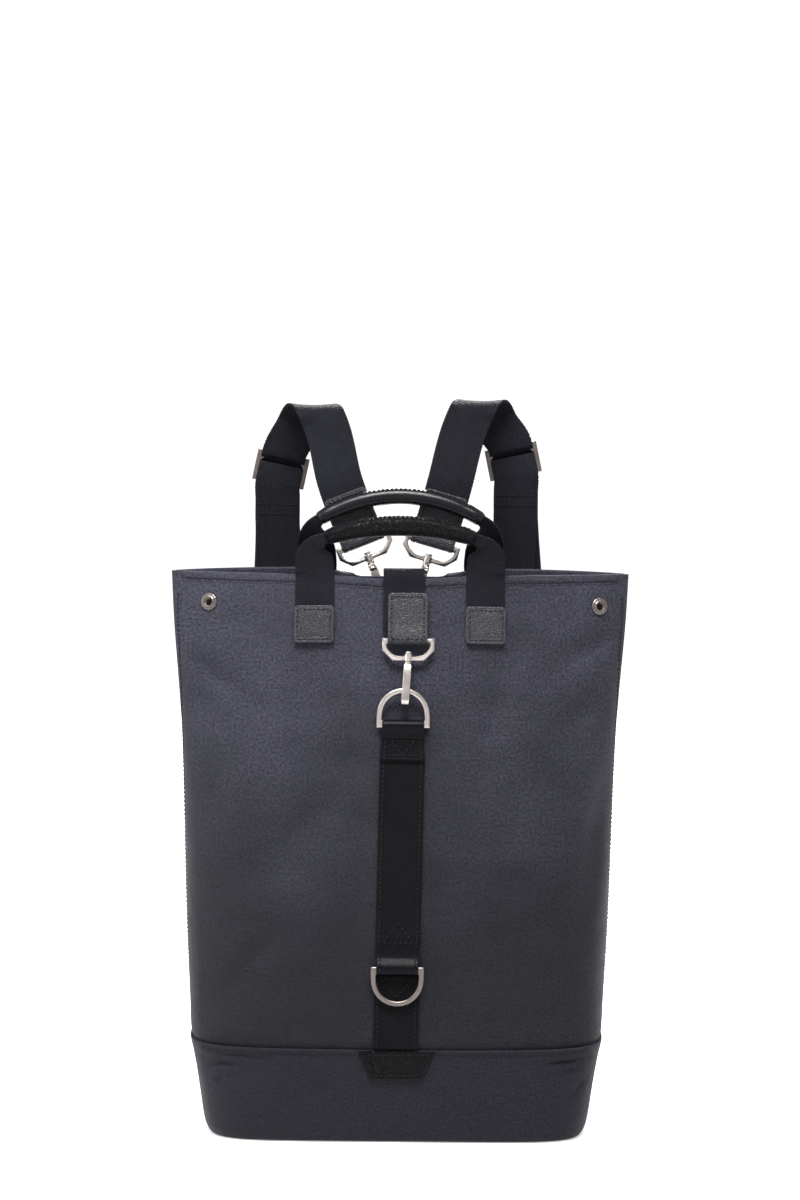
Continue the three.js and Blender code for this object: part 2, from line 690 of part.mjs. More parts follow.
function closureStrap() {
  const rest = clearance + webbing / 2;
  const rearEase = 1;
  const front = (z, lift) => {
    const place = seat('front', closureX, z, closureWidth, lift);
    return { at: place.at, face: place.out };
  };
  const rear = (z, lift) => {
    const place = seat('rear', closureX, z, closureWidth, lift);
    return { at: place.at, face: place.out };
  };
  const rimZ = bagHeight + rimLift('front', closureX);
  const rearAt = rear(rimZ - 4, rest);
  const frontAt = front(rimZ - 4, rest);
  const radius = (rearAt.at.y - frontAt.at.y) / 2 + 0.45;
  const crown = point(closureX, (rearAt.at.y + frontAt.at.y) / 2, rimZ + 0.8);
  const ends = [closureTab.at(0, 0, -tabReach + 5), closureTab.at(0, 0, -8)];
  const stations = [
    ...[37, 25, 13].map((drop) => rear(rimZ - drop, rest + rearEase)),
    ...arcStations(crown, Y, Z, radius, 0, 180),
    front(rimZ - 6, rest + 0.3),
    ...ends.map((at) => ({ at: at.setX(closureX), face: closureTab.out })),
  ];
  return ribbon(stations, even(closureWidth), even(webbing));
}

add('closure_strap', closureStrap(), 'darkWebbing');
add('closure_tab', leatherTab(closureTab, closureTabWidth, tabReach, tabReach - 6), 'pebbledLeather');
add('closure_hook_frame', swivelFrame(closureFrame, closureFrameInner), 'agedNickel');

function leaning(place, drop, degrees) {
  const turn = degToRad(degrees);
  const straight = place.down.clone().multiplyScalar(Math.cos(turn));
  const down = straight.addScaledVector(place.across, Math.sin(turn));
  return basis(place.at(0, 0, drop), down, place.out);
}

const closureHook = leaning(closureFrame, frameRise, -closureLean);
add('closure_hook', snapHook(closureHook), 'agedNickel');
add('closure_hook_gate', hookGate(closureHook), 'agedNickel');

// The front strip: one band of webbing that holds the upper ring at its top and the lower ring
// at its foot, each in a sewn fold
const keeperRadius = keeperInner + webbing / 2;
const barOff = clearance + webbing + keeperInner;
const wireOut = (spineInner + noseInner) / 2 + 0.1;
const upperBow = closureHook.at(0, wireOut, closureRingDrop).setX(closureRingX);
const upperBarY = onFront(closureRingX, upperBow.z - ringReach, barOff + 0.4).y;
const upperBarZ = upperBow.z - Math.sqrt(ringReach ** 2 - (upperBow.y - upperBarY) ** 2);
const upperBar = point(closureRingX, upperBarY, upperBarZ);
const upperRing = basis(upperBar, upperBar.clone().sub(upperBow), Y.clone().negate());
const lowerRingRise = 67;
const lowerBarZ = bandHeight + lowerRingRise;
const lowerBar = onFront(0.4, lowerBarZ, barOff + 0.2);
const lowerRing = basis(lowerBar, point(0, 0.035, 1), Y.clone().negate());
const sewnFold = 24;

function stripX(z) {
  return lerp(lowerBar.x, upperBar.x, (z - lowerBar.z) / (upperBar.z - lowerBar.z));
}

function stripStation(z, lift) {
  const place = seat('front', stripX(z), z, stripWidth, lift);
  return { at: place.at, face: place.out };
}

function frontStrip() {
  const low = clearance + webbing / 2;
  const high = low + webbing + clearance;
  const front = Y.clone().negate();
  const upwards = upperRing.down.clone().negate();
  const turned = ({ at, face }) => ({ at, face: face.clone().negate() });
  const top = upperBar.z - 9;
  const foot = lowerBar.z + sewnFold + 10;
  const spans = 6;
  const middle = [];
  for (let i = 0; i <= spans; i += 1) middle.push(stripStation(lerp(top, foot, i / spans), low));
  const stations = [
    stripStation(upperBar.z - sewnFold - 5, high),
    stripStation(upperBar.z - 11, high + 0.3),
    ...arcStations(upperBar, front, upwards, keeperRadius, -10, 180),
    ...middle.map(turned),
    turned(stripStation(lowerBar.z + sewnFold + 2, high)),
    turned(stripStation(lowerBar.z + 11, high + 0.3)),
    ...arcStations(lowerBar, front, Z, keeperRadius, 10, -180).map(turned),
    stripStation(lowerBar.z + 9, low),
    stripStation(lowerBar.z + sewnFold - 4, low),
  ];
  return ribbon(stations, stripWidthAt, even(webbing));
}

function stripWidthAt(share, station) {
  const near = Math.min(station.at.distanceTo(upperBar), station.at.distanceTo(lowerBar));
  return lerp(keeperWidth, stripWidth, smoothstep(near, 7, 20));
}

function lowerStrip() {
  const stations = [bandHeight + 1.5, bandHeight + 30, lowerBar.z - keeperRadius - 2];
  const resting = stations.map((z) => stripStation(z, clearance + webbing / 2));
  return ribbon(resting, even(stripWidth), even(webbing));
}

add('front_strip', frontStrip(), 'darkWebbing');
add('lower_strip', lowerStrip(), 'darkWebbing');
add('upper_ring', dRing(upperRing), 'agedNickel');
add('lower_ring', dRing(lowerRing), 'darkNickel');

// The bare label: a small trapezoid of leather sewn on the band under the strip
function labelPatch() {
  const place = seat('front', 0, bandHeight - labelHeight / 2, labelTop, clearance + seamProud);
  const corner = 2.5;
  const half = labelHeight / 2;
  const lean = (labelTop - labelFoot) / 2 / labelHeight;
  const shape = new THREE.Shape();
  shape.moveTo(-labelTop / 2, half);
  shape.lineTo(-labelFoot / 2 - lean * corner, -half + corner);
  shape.quadraticCurveTo(-labelFoot / 2, -half, -labelFoot / 2 + corner, -half);
  shape.lineTo(labelFoot / 2 - corner, -half);
  shape.quadraticCurveTo(labelFoot / 2, -half, labelFoot / 2 + lean * corner, -half + corner);
  shape.lineTo(labelTop / 2, half);
  const flat = new THREE.ExtrudeGeometry(shape, { depth: leather, bevelEnabled: false, curveSegments: 3 });
  const turn = new THREE.Matrix4().makeBasis(place.across, place.up, place.out).setPosition(place.at);
  return geometryOf(solidOf(flat.applyMatrix4(turn)));
}

add('label_patch', labelPatch(), 'pebbledLeather');

// Snap studs near the top corners. aside and down are small offsets of each, in shares of studRadius.
const studs = [
  { name: 'snap_left', hand: -1, aside: -1.043, down: 0 },
  { name: 'snap_right', hand: 1, aside: 0, down: 0.186 },
];

function snapStud(x, z) {
  const place = seat('front', x, z, 2 * studRadius, clearance);
  const profile = [
    [0, 0], [1, 0], [1, 0.09], [0.92, 0.16], [0.74, 0.17], [0.71, 0.27], [0.62, 0.32],
    [0.5, 0.3], [0.45, 0.18], [0.17, 0.18], [0.15, 0.1], [0, 0.1],
  ].map(([r, h]) => new THREE.Vector2(r * studRadius, h * studRadius));
  const turn = new THREE.Matrix4().makeBasis(place.across, place.out, place.across.clone().cross(place.out));
  const stud = new THREE.LatheGeometry(profile, 12).applyMatrix4(turn.setPosition(place.at));
  return geometryOf(solidOf(stud));
}

for (const { name, hand, aside, down } of studs) {
  const x = hand * (mouthWidth / 2 - studInset + aside * studRadius);
  add(name, snapStud(x, bagHeight - studDrop - down * studRadius), 'agedNickel');
}

// The two carrying handles: webbing legs that fold into a leather grip. Grip heights are those
// of its middle line, and tall and slim are its half heights in the middle and at the ends.
const handles = {
  front: {
    legX: frontHandleX, gripHalf: frontGripHalf, gripY: -35, endZ: bagHeight + 30.4, midZ: bagHeight + 40.3,
    tall: 8, slim: 6, deep: 6.2,
  },
  rear: {
    legX: rearHandleX, gripHalf: rearGripHalf, gripY: 0, endZ: bagHeight + 43.5, midZ: bagHeight + 62.3,
    tall: 6.4, slim: 5.6, deep: 5.6,
  },
};

const patchShares = [0, 0.25, 0.5, 0.75, 1];

function gripArc(spec) {
  const rise = spec.midZ - spec.endZ;
  const radius = (spec.gripHalf ** 2 + rise ** 2) / (2 * rise);
  const reach = Math.asin(spec.gripHalf / radius);
  return (share) => {
    const angle = lerp(-reach, reach, share);
    return {
      at: point(radius * Math.sin(angle), spec.gripY, spec.midZ - radius + radius * Math.cos(angle)),
      along: point(Math.cos(angle), 0, -Math.sin(angle)),
    };
  };
}

function handleWebbing(side) {
  const spec = handles[side];
  const outward = side === 'front' ? Y.clone().negate() : Y.clone();
  const arc = gripArc(spec);
  const rest = clearance + webbing / 2;
  const legs = [-1, 1].map((hand) => {
    const x = hand * spec.legX;
    const rimZ = bagHeight + rimLift(side, x);
    const sewn = patchShares.slice(1).map((share) => patchBottom + share * patchHeight);
    const onPanel = [patchBottom + 3, ...sewn, lerp(sewn.at(-1), rimZ, 0.5), rimZ - 1].map((z) => {
      const place = seat(side, x, z, handleWidth, rest);
      return { at: place.at, face: place.out, fold: 0 };
    });
    const start = onPanel.at(-1).at.clone().add(point(0, 0, 4));
    const end = arc(hand < 0 ? 0 : 1);
    const lift = point(0, 0, 0.5 * (end.at.z - start.z));
    const ease = end.along.clone().multiplyScalar(hand * 15);
    const leaving = start.clone().add(lift);
    const curve = new THREE.CubicBezierCurve3(start, leaving, end.at.clone().add(ease), end.at);
    const free = [0, 0.2, 0.4, 0.55, 0.7, 0.85, 1].map((t) => (
      { at: curve.getPoint(t), face: outward, fold: smoothstep(t, 0.25, 1) }));
    return [...onPanel, ...free];
  });
  const held = [];
  for (let i = 1; i < gripSpans; i += 1) held.push({ at: arc(i / gripSpans).at, face: outward, fold: 1 });
  const stations = [...legs[0], ...held, ...legs[1].reverse()];
  return ribbon(
    stations,
    (share, station) => lerp(handleWidth, foldWidth, station.fold),
    (share, station) => lerp(webbing, foldThick, station.fold ** 3),
  );
}

// A grip is a padded leather tube, open along its middle where the webbing runs
function gripTube(side) {
  const spec = handles[side];
  const arc = gripArc(spec);
  const tunnelHigh = foldWidth / 2 + clearance + 0.15;
  const tunnelDeep = foldThick / 2 + clearance + 0.15;
  const spans = gripSpans;
  const ring = (share, scale, hollow) => {
    const { at, along } = arc(share);
    const upward = along.clone().cross(Y).negate();
    const high = lerp(spec.slim, spec.tall, Math.sin(Math.PI * share) ** 0.8) * scale;
    const points = [];
    for (let i = 0; i < 12; i += 1) {
      const angle = degToRad(-45 + 30 * i);
      const edge = Math.floor(i / 3);
      const slide = -1 + (2 / 3) * (i % 3);
      const square = [[1, slide], [-slide, 1], [-1, -slide], [slide, -1]][edge];
      const deepAt = hollow ? square[0] * tunnelDeep : Math.cos(angle) * spec.deep * scale;
      const highAt = hollow ? square[1] * tunnelHigh : Math.sin(angle) * high;
      points.push(at.clone().addScaledVector(Y, deepAt).addScaledVector(upward, highAt));
    }
    return points;
  };
  const outer = [ring(0.004, 0.92, false)];
  for (let i = 0; i <= spans; i += 1) outer.push(ring(lerp(0.02, 0.98, i / spans), 1, false));
  outer.push(ring(0.996, 0.92, false));
  const inner = [];
  for (let i = spans; i >= 0; i -= 1) inner.push(ring(lerp(0.004, 0.996, i / spans), 1, true));
  return loft([...outer, ...inner], true);
}

function handlePatch(side, x) {
  const lift = clearance + webbing + clearance + leather / 2;
  const stations = patchShares.map((share) => {
    const place = seat(side, x, patchBottom + share * patchHeight, handleWidth, lift);
    return { at: place.at, face: place.out };
  });
  return ribbon(stations, even(patchWidth), even(leather));
}

for (const side of ['front', 'rear']) {
  add(`${side}_handle_webbing`, handleWebbing(side), 'darkWebbing');
  add(`${side}_handle_grip`, gripTube(side), 'gripLeather');
  add(`${side}_handle_patch_left`, handlePatch(side, -handles[side].legX), 'pebbledLeather');
  add(`${side}_handle_patch_right`, handlePatch(side, handles[side].legX), 'pebbledLeather');
}

// Shoulder straps. Each hangs from a swivel frame and hook on the rear ring, rises to an apex,
// falls behind the bag through a slider, loops round a ring at the base and comes back up to
// the slider's middle bar, where its end is sewn. The two lie a little differently. Columns that
// end in Aside are shares of mouthWidth, those that end in Up are shares of strapRise above the
// rim, footAside is a share of baseWidth, and tilt is in degrees.
const strapRows = [
  {
    name: 'left', hand: -1, tilt: 22, bossAside: 0.06864, bossUp: 0.0791, apexAside: 0.1982, apexUp: 0.9676,
    sliderAside: 0.2714, sliderUp: 0.572, rimAside: 0.2663, footAside: 0.3846,
  },
  {
    name: 'right', hand: 1, tilt: 16, bossAside: 0.05983, bossUp: 0.0705, apexAside: 0.1776, apexUp: 1,
    sliderAside: 0.2527, sliderUp: 0.633, rimAside: 0.2548, footAside: 0.3846,
  },
];
const shoulders = strapRows.map((row) => ({
  name: row.name,
  hand: row.hand,
  tilt: row.tilt,
  bossX: row.hand * row.bossAside * mouthWidth,
  bossZ: bagHeight + row.bossUp * strapRise,
  apexX: row.hand * row.apexAside * mouthWidth,
  apexZ: bagHeight + row.apexUp * strapRise,
  sliderX: row.hand * row.sliderAside * mouthWidth,
  sliderZ: bagHeight + row.sliderUp * strapRise,
  rimX: row.hand * row.rimAside * mouthWidth,
  ringX: row.hand * row.footAside * baseWidth,
}));
const bossY = 8;
const apexLean = 26;
const sideSlope = 0.45;
const sliderTilt = 12;
const layerShift = 5;
const barReach = Math.hypot(sliderThick / 2, sliderBar / 2);
const passRadius = barReach + clearance / 2 + webbing / 2;
const layerPitch = webbing + 0.3;
const loopRadius = barReach + clearance / 2 + webbing / 2 + 0.05;
const backRadius = loopRadius + layerPitch;
const strapRingInner = shoulderWidth + 1.6;
const strapRingRadius = strapRingBar + clearance + webbing / 2;
const strapRingZ = bandHeight + 12;
const rearOut = Y.clone();

function shoulderFrame(row) {
  const tilt = degToRad(row.tilt);
  const lean = degToRad(shoulderLean);
  const level = Math.cos(lean);
  const down = point(-row.hand * Math.sin(tilt) * level, -Math.sin(lean), -Math.cos(tilt) * level);
  const boss = point(row.bossX, bossY, row.bossZ);
  return basis(boss.clone().addScaledVector(down, -frameRise), down, rearOut);
}

// A smooth cubic between two places with given directions, without its first point
function cubicStations(start, startDirection, end, endDirection, count, face) {
  const span = start.distanceTo(end) / 3;
  const curve = new THREE.CubicBezierCurve3(
    start,
    start.clone().addScaledVector(startDirection, span),
    end.clone().addScaledVector(endDirection, -span),
    end,
  );
  const list = [];
  for (let i = 1; i <= count; i += 1) list.push({ at: curve.getPoint(i / count), face });
  return list;
}

function strapRingBasis(row) {
  const off = clearance + webbing + strapRingBar + clearance + seamProud + 0.5;
  const bar = behindPanel(row.ringX, strapRingZ, strapRingInner, off);
  return basis(bar, Z.clone().negate(), rearOut);
}

function shoulderStrap(row) {
  const { hand } = row;
  const frame = shoulderFrame(row);
  const slider = sliderBasis(row);
  const ring = strapRingBasis(row);
  const lean = degToRad(apexLean);
  const up = frame.down.clone().negate();
  const centre = point(0, rearLegY - apexRadius, row.apexZ - apexRadius - webbing / 2);
  const frontTurn = apexRadius * (Math.PI / 2 - lean);
  const arc = arcStations(centre, Y.clone().negate(), Z, apexRadius, apexLean, 180);
  arc.forEach((station, i) => {
    const turned = apexRadius * degToRad(lerp(apexLean, 180, i / (arc.length - 1)) - apexLean);
    station.at.x = row.apexX + hand * sideSlope * (turned - frontTurn);
  });
  const tabTop = frame.at(0, 0, -shoulderTabReach);
  const rise = point(hand * sideSlope, Math.sin(lean), Math.cos(lean)).normalize();
  const fall = point(hand * sideSlope, 0, -1).normalize();
  const outward = slider.out.clone();
  const inward = outward.clone().negate();
  const steep = slider.down;
  const plumb = Z.clone().negate();
  const swing = Math.asin((passRadius + backRadius) / sliderPitch) / Math.PI * 180;
  const ease = Math.asin((passRadius + 2 * layerPitch - loopRadius) / sliderPitch) / Math.PI * 180;
  const bar = (number) => slider.at(0, 0, number * sliderPitch);
  const about = (number, radius, from, to, sign) => {
    const list = arcStations(bar(number), slider.out, slider.down, radius, from, to);
    return list.map(({ at, face }) => ({ at, face: face.multiplyScalar(sign) }));
  };
  const sewn = 27;
  const hang = (off, length) => slider.at(0, off, sliderPitch).addScaledVector(plumb, length);
  const rimDown = point(row.rimX + hand * layerShift, rearLegY, bagHeight);
  const midDown = point(lerp(row.rimX, row.ringX, 0.45) + hand * layerShift, rearLegY, 0.6 * bagHeight);
  const ringRear = ring.at(0, strapRingRadius, 0);
  const ringFront = ring.at(0, -strapRingRadius, 0);
  const fore = rearLegY - layerPitch - 0.3;
  const rimUp = point(row.rimX, fore, bagHeight);
  const midUp = point(lerp(row.rimX, row.ringX, 0.45), fore, 0.6 * bagHeight);
  const legDown = midDown.clone().sub(rimDown).normalize();
  const legUp = midUp.clone().sub(rimUp).normalize();
  const stations = [
    { at: frame.at(0, 0, -8), face: outward },
    { at: tabTop, face: outward },
    ...cubicStations(tabTop, up, arc[0].at, rise, 5, outward),
    ...arc.slice(1),
    ...cubicStations(arc.at(-1).at, fall, slider.at(0, passRadius, -sliderPitch), steep, 4, inward)
      .slice(0, -1),
    ...about(-1, passRadius, 0, swing, -1),
    ...arcStations(bar(0), inward, slider.down, backRadius, -swing, swing),
    ...about(1, passRadius, -swing, 0, -1),
    { at: hang(passRadius, sewn / 2), face: inward },
    { at: hang(passRadius, sewn), face: inward },
    ...cubicStations(hang(passRadius, sewn), plumb, rimDown, legDown, 2, inward),
    { at: midDown, face: inward },
    ...cubicStations(midDown, legDown, ringRear, plumb, 5, inward).slice(0, -1),
    ...arcStations(ring.origin, inward, plumb, strapRingRadius, 0, 180),
    ...cubicStations(ringFront, Z, midUp, legUp.clone().negate(), 4, outward),
    { at: rimUp, face: outward },
    { at: hang(passRadius + 2 * layerPitch, sewn + 6), face: outward },
    { at: hang(passRadius + 2 * layerPitch, sewn / 2), face: outward },
    ...about(1, passRadius + 2 * layerPitch, 0, -ease, 1),
    ...about(0, loopRadius, -ease, -180 - swing, 1),
    ...about(1, passRadius + layerPitch, -swing, 0, -1),
    { at: hang(passRadius + layerPitch, sewn / 2), face: inward },
    { at: hang(passRadius + layerPitch, sewn), face: inward },
  ];
  return ribbon(stations, even(shoulderWidth), even(webbing));
}

// The slider's middle bar is the local origin
function sliderBasis(row) {
  const tilt = degToRad(sliderTilt);
  const origin = point(row.sliderX, rearLegY + passRadius, row.sliderZ);
  return basis(origin, point(row.hand * Math.sin(tilt), 0, -Math.cos(tilt)), Y.clone().negate());
}

function slider(row) {
  const inner = shoulderWidth + 1.6;
  const frame = block(inner + 2 * sliderRail, sliderThick, 2 * sliderPitch + sliderBar, [0, 0, 0]);
  const windows = [-1, 1].map((step) => (
    block(inner, 2 * sliderThick, sliderPitch - sliderBar, [0, 0, step * sliderPitch / 2])));
  return placed(geometryOf(cut(solidOf(frame), ...windows)), sliderBasis(row));
}

// Where a shoulder hook holds the rear ring's bow
const ringContact = (row) => {
  const frame = shoulderFrame(row);
  return frame.at(0, wireOut, frameRise + shoulderReach);
};

// The rear ring stands between its keeper on the rear panel and the two hooks that hold its bow
const sewnEase = 0.4;
const keeperOff = clearance + webbing + barOff + sewnEase;

function rearRingBasis() {
  const [left, right] = shoulders.map(ringContact);
  const chord = right.clone().sub(left);
  const middle = left.clone().add(right).multiplyScalar(0.5);
  const rise = ringLeg + Math.sqrt(ringHalf ** 2 - chord.lengthSq() / 4);
  const level = chord.clone().normalize();
  let bar = middle.clone().addScaledVector(Z, -rise);
  for (let pass = 0; pass < 12; pass += 1) {
    const place = seat('rear', bar.x, bar.z - 0.6 * keeperOff, keeperWidth, keeperOff);
    const toBar = point(bar.x, place.at.y, bar.z).sub(middle);
    toBar.addScaledVector(level, -toBar.dot(level)).normalize();
    bar = middle.clone().addScaledVector(toBar, rise);
  }
  return basis(bar, bar.clone().sub(middle), rearOut);
}

function rearKeeper(ring) {
  const half = (webbing + 0.3) / 2;
  const length = 36;
  const off = clearance + webbing / 2 + half + sewnEase;
  const low = seat('rear', ring.origin.x, ring.origin.z - length, keeperWidth, off);
  const along = ring.origin.clone().sub(low.at);
  along.addScaledVector(ring.across, -along.dot(ring.across));
  const place = basis(ring.origin, along, ring.across.clone().cross(along));
  const fold = {
    width: keeperWidth, thick: webbing, radius: keeperRadius, half, front: length, back: length - 4,
  };
  return foldedBand(place, fold);
}

// A plain ring at the base that the shoulder strap's foot loops round, and its sewn tab
function strapRing(row) {
  const half = strapRingInner / 2 + strapRingBar;
  const outline = [[half, 0], [-half, 0], [-half, strapRingDrop], [half, strapRingDrop]];
  return wireLoop(outline, 2 * strapRingBar, 2 * strapRingBar, strapRingBasis(row));
}

function strapRingTab(row) {
  const bar = strapRingBasis(row).at(0, 0, strapRingDrop);
  const half = (webbing + 0.3) / 2;
  const length = 34;
  const low = behindPanel(bar.x, bar.z - length, shoulderWidth, clearance + webbing / 2 + half + sewnEase);
  const place = basis(bar, bar.clone().sub(low), rearOut);
  const fold = {
    width: shoulderWidth, thick: webbing, radius: strapRingRadius, half, front: length, back: length - 3,
  };
  return foldedBand(place, fold);
}

const rearRing = rearRingBasis();
add('rear_ring', dRing(rearRing), 'agedNickel');
add('rear_ring_keeper', rearKeeper(rearRing), 'darkWebbing');
for (const row of shoulders) {
  const frame = shoulderFrame(row);
  const hook = basis(frame.at(0, 0, frameRise), frame.down, rearOut);
  add(`shoulder_strap_${row.name}`, shoulderStrap(row), 'darkWebbing');
  const tab = leatherTab(frame, shoulderTabWidth, shoulderTabReach, shoulderTabReach);
  add(`strap_tab_${row.name}`, tab, 'pebbledLeather');
  add(`shoulder_frame_${row.name}`, swivelFrame(frame, shoulderFrameInner), 'agedNickel');
  add(`shoulder_hook_${row.name}`, snapHook(hook), 'agedNickel');
  add(`shoulder_gate_${row.name}`, hookGate(hook), 'agedNickel');
  add(`slider_${row.name}`, slider(row), 'darkNickel');
  add(`strap_ring_${row.name}`, strapRing(row), 'darkNickel');
  add(`strap_ring_tab_${row.name}`, strapRingTab(row), 'darkWebbing');
}

export default bag;
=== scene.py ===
import json
import math
from bisect import bisect_right
from itertools import permutations

import bmesh
import bpy
from mathutils import Euler, Matrix, Vector, noise
from mathutils.bvhtree import BVHTree


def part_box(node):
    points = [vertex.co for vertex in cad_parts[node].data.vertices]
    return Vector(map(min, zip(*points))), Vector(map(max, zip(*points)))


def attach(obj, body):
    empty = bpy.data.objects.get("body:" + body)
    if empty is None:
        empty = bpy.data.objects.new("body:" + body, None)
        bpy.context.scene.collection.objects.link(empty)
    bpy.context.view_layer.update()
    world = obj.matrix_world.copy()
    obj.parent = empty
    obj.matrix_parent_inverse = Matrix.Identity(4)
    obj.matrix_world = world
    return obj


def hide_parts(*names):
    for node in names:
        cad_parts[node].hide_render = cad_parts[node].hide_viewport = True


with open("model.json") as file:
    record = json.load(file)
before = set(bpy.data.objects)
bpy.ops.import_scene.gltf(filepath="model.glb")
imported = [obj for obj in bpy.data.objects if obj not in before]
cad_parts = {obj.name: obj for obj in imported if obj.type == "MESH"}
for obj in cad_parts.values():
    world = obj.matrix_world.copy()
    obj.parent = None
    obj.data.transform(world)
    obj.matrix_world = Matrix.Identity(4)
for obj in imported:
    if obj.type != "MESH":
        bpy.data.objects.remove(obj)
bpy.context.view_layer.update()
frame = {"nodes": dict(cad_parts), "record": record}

bl_info = {
    "name": "Convertible Backpack Finishes",
    "version": (1, 0, 0),
    "blender": (4, 5, 0),
    "location": "3D Viewport > Sidebar > Backpack",
    "description": "Cloth, webbing, leather, metal and stitching for a canvas convertible backpack",
    "category": "Object",
}

MM = 0.001
# A grain this deep or deeper has creases of the darkest painted shade
DEEP_GRAIN = 0.2 * MM
# How far out rays towards the bag start, in metres
AFAR = 0.3
BAG = "bag"
FRONT = Vector((0, -1, 0))
REAR = Vector((0, 1, 0))


# Settings that a user would change

def colour_setting(name, description, default):
    return bpy.props.FloatVectorProperty(
        name=name, description=description, subtype="COLOR", size=3, min=0, max=1, default=default)


def length_setting(name, description, low, high, default):
    return bpy.props.FloatProperty(
        name=name, description=description, subtype="DISTANCE", unit="LENGTH", min=low, max=high,
        default=default)


class ClothSettings(bpy.types.PropertyGroup):
    panel_colour: colour_setting(
        "Panel colour", "Colour of the upper canvas", (0.0182, 0.0184, 0.0262))
    band_colour: colour_setting(
        "Band colour", "Colour of the canvas round the base", (0.0066, 0.0067, 0.0102))
    thread_pitch: length_setting(
        "Thread pitch", "Distance between neighbouring threads of the canvas",
        0.0002, 0.004, 0.0013)
    ripple_depth: length_setting(
        "Ripple depth", "How deep the soft hollows of the panels are", 0, 0.008, 0.0044)
    hem_drop: length_setting(
        "Hem stitch drop", "Distance of the top stitching below the rim", 0.002, 0.03, 0.0058)


class WebbingSettings(bpy.types.PropertyGroup):
    colour: colour_setting(
        "Webbing colour", "Colour of straps and handle legs", (0.0040, 0.0041, 0.0064))
    deep_colour: colour_setting(
        "Deep webbing colour", "Colour of the strip down the front", (0.0013, 0.0013, 0.0021))
    rib_pitch: length_setting(
        "Rib pitch", "Width of one warp cord of the twill", 0.0005, 0.005, 0.0015)
    edge_inset: length_setting(
        "Edge stitch inset", "Distance of stitch rows from a strip's edge", 0.001, 0.01, 0.0028)


class LeatherSettings(bpy.types.PropertyGroup):
    tab_colour: colour_setting(
        "Tab colour", "Colour of the pebbled tabs and patches", (0.0070, 0.0072, 0.0106))
    grip_colour: colour_setting(
        "Grip colour", "Colour of the smooth grips", (0.0022, 0.0022, 0.0031))
    black_colour: colour_setting(
        "Black leather colour", "Colour of the front grip and the label", (0.0012, 0.0012, 0.0018))
    pebble_size: length_setting(
        "Pebble size", "Size of one pebble of the grain", 0.0004, 0.005, 0.0016)
    groove: length_setting(
        "Stitch groove", "How far the thread pulls the leather in", 0, 0.001, 0.0006)
    stitch_inset: length_setting(
        "Stitch inset", "Distance of the stitch rows from a leather edge", 0.001, 0.01, 0.003)
    corner: length_setting(
        "Corner radius", "Rounding of the corners of tabs and patches", 0.0005, 0.01, 0.0032)


class MetalSettings(bpy.types.PropertyGroup):
    bright_colour: colour_setting(
        "Nickel colour", "Colour of the antique nickel fittings", (0.165, 0.150, 0.141))
    dark_colour: colour_setting(
        "Dark nickel colour", "Colour of the darker fittings", (0.055, 0.047, 0.043))
    edge_radius: length_setting(
        "Edge radius", "Rounding of the fittings' edges", 0.00005, 0.001, 0.0004)


class StitchSettings(bpy.types.PropertyGroup):
    length: length_setting("Stitch length", "Length of one visible stitch", 0.001, 0.01, 0.0026)
    pitch: length_setting(
        "Stitch pitch", "Distance from one stitch to the next", 0.0012, 0.012, 0.0036)
    thickness: length_setting(
        "Thread thickness", "Thickness of the sewing thread", 0.0002, 0.002, 0.0012)
    colour: colour_setting(
        "Thread colour", "Colour of the sewing thread", (0.0012, 0.0012, 0.0018))


class StudioSettings(bpy.types.PropertyGroup):
    camera_place: bpy.props.FloatVectorProperty(
        name="Camera place", description="Where the camera stands", subtype="TRANSLATION",
        unit="LENGTH", size=3, default=(0.0, -2.45, 0.665))
    camera_pitch: bpy.props.FloatProperty(
        name="Camera pitch", description="How far the camera looks down",
        subtype="ANGLE", unit="ROTATION", default=math.radians(5.36))
    camera_roll: bpy.props.FloatProperty(
        name="Camera roll", description="How far the picture is turned",
        subtype="ANGLE", unit="ROTATION", default=math.radians(0.5))
    focal_length: bpy.props.FloatProperty(
        name="Focal length", description="Lens length in millimetres on a 36 mm tall frame",
        min=20, max=300, default=90)
    sky: bpy.props.FloatProperty(
        name="Surrounding light", description="Strength of the even light from all round",
        min=0, max=4, default=1.02)


GROUPS = {
    "cloth": ClothSettings,
    "webbing": WebbingSettings,
    "leather": LeatherSettings,
    "metal": MetalSettings,
    "stitch": StitchSettings,
    "studio": StudioSettings,
}


def setting(group):
    return getattr(bpy.context.scene, "backpack_" + group)


# Shader nodes

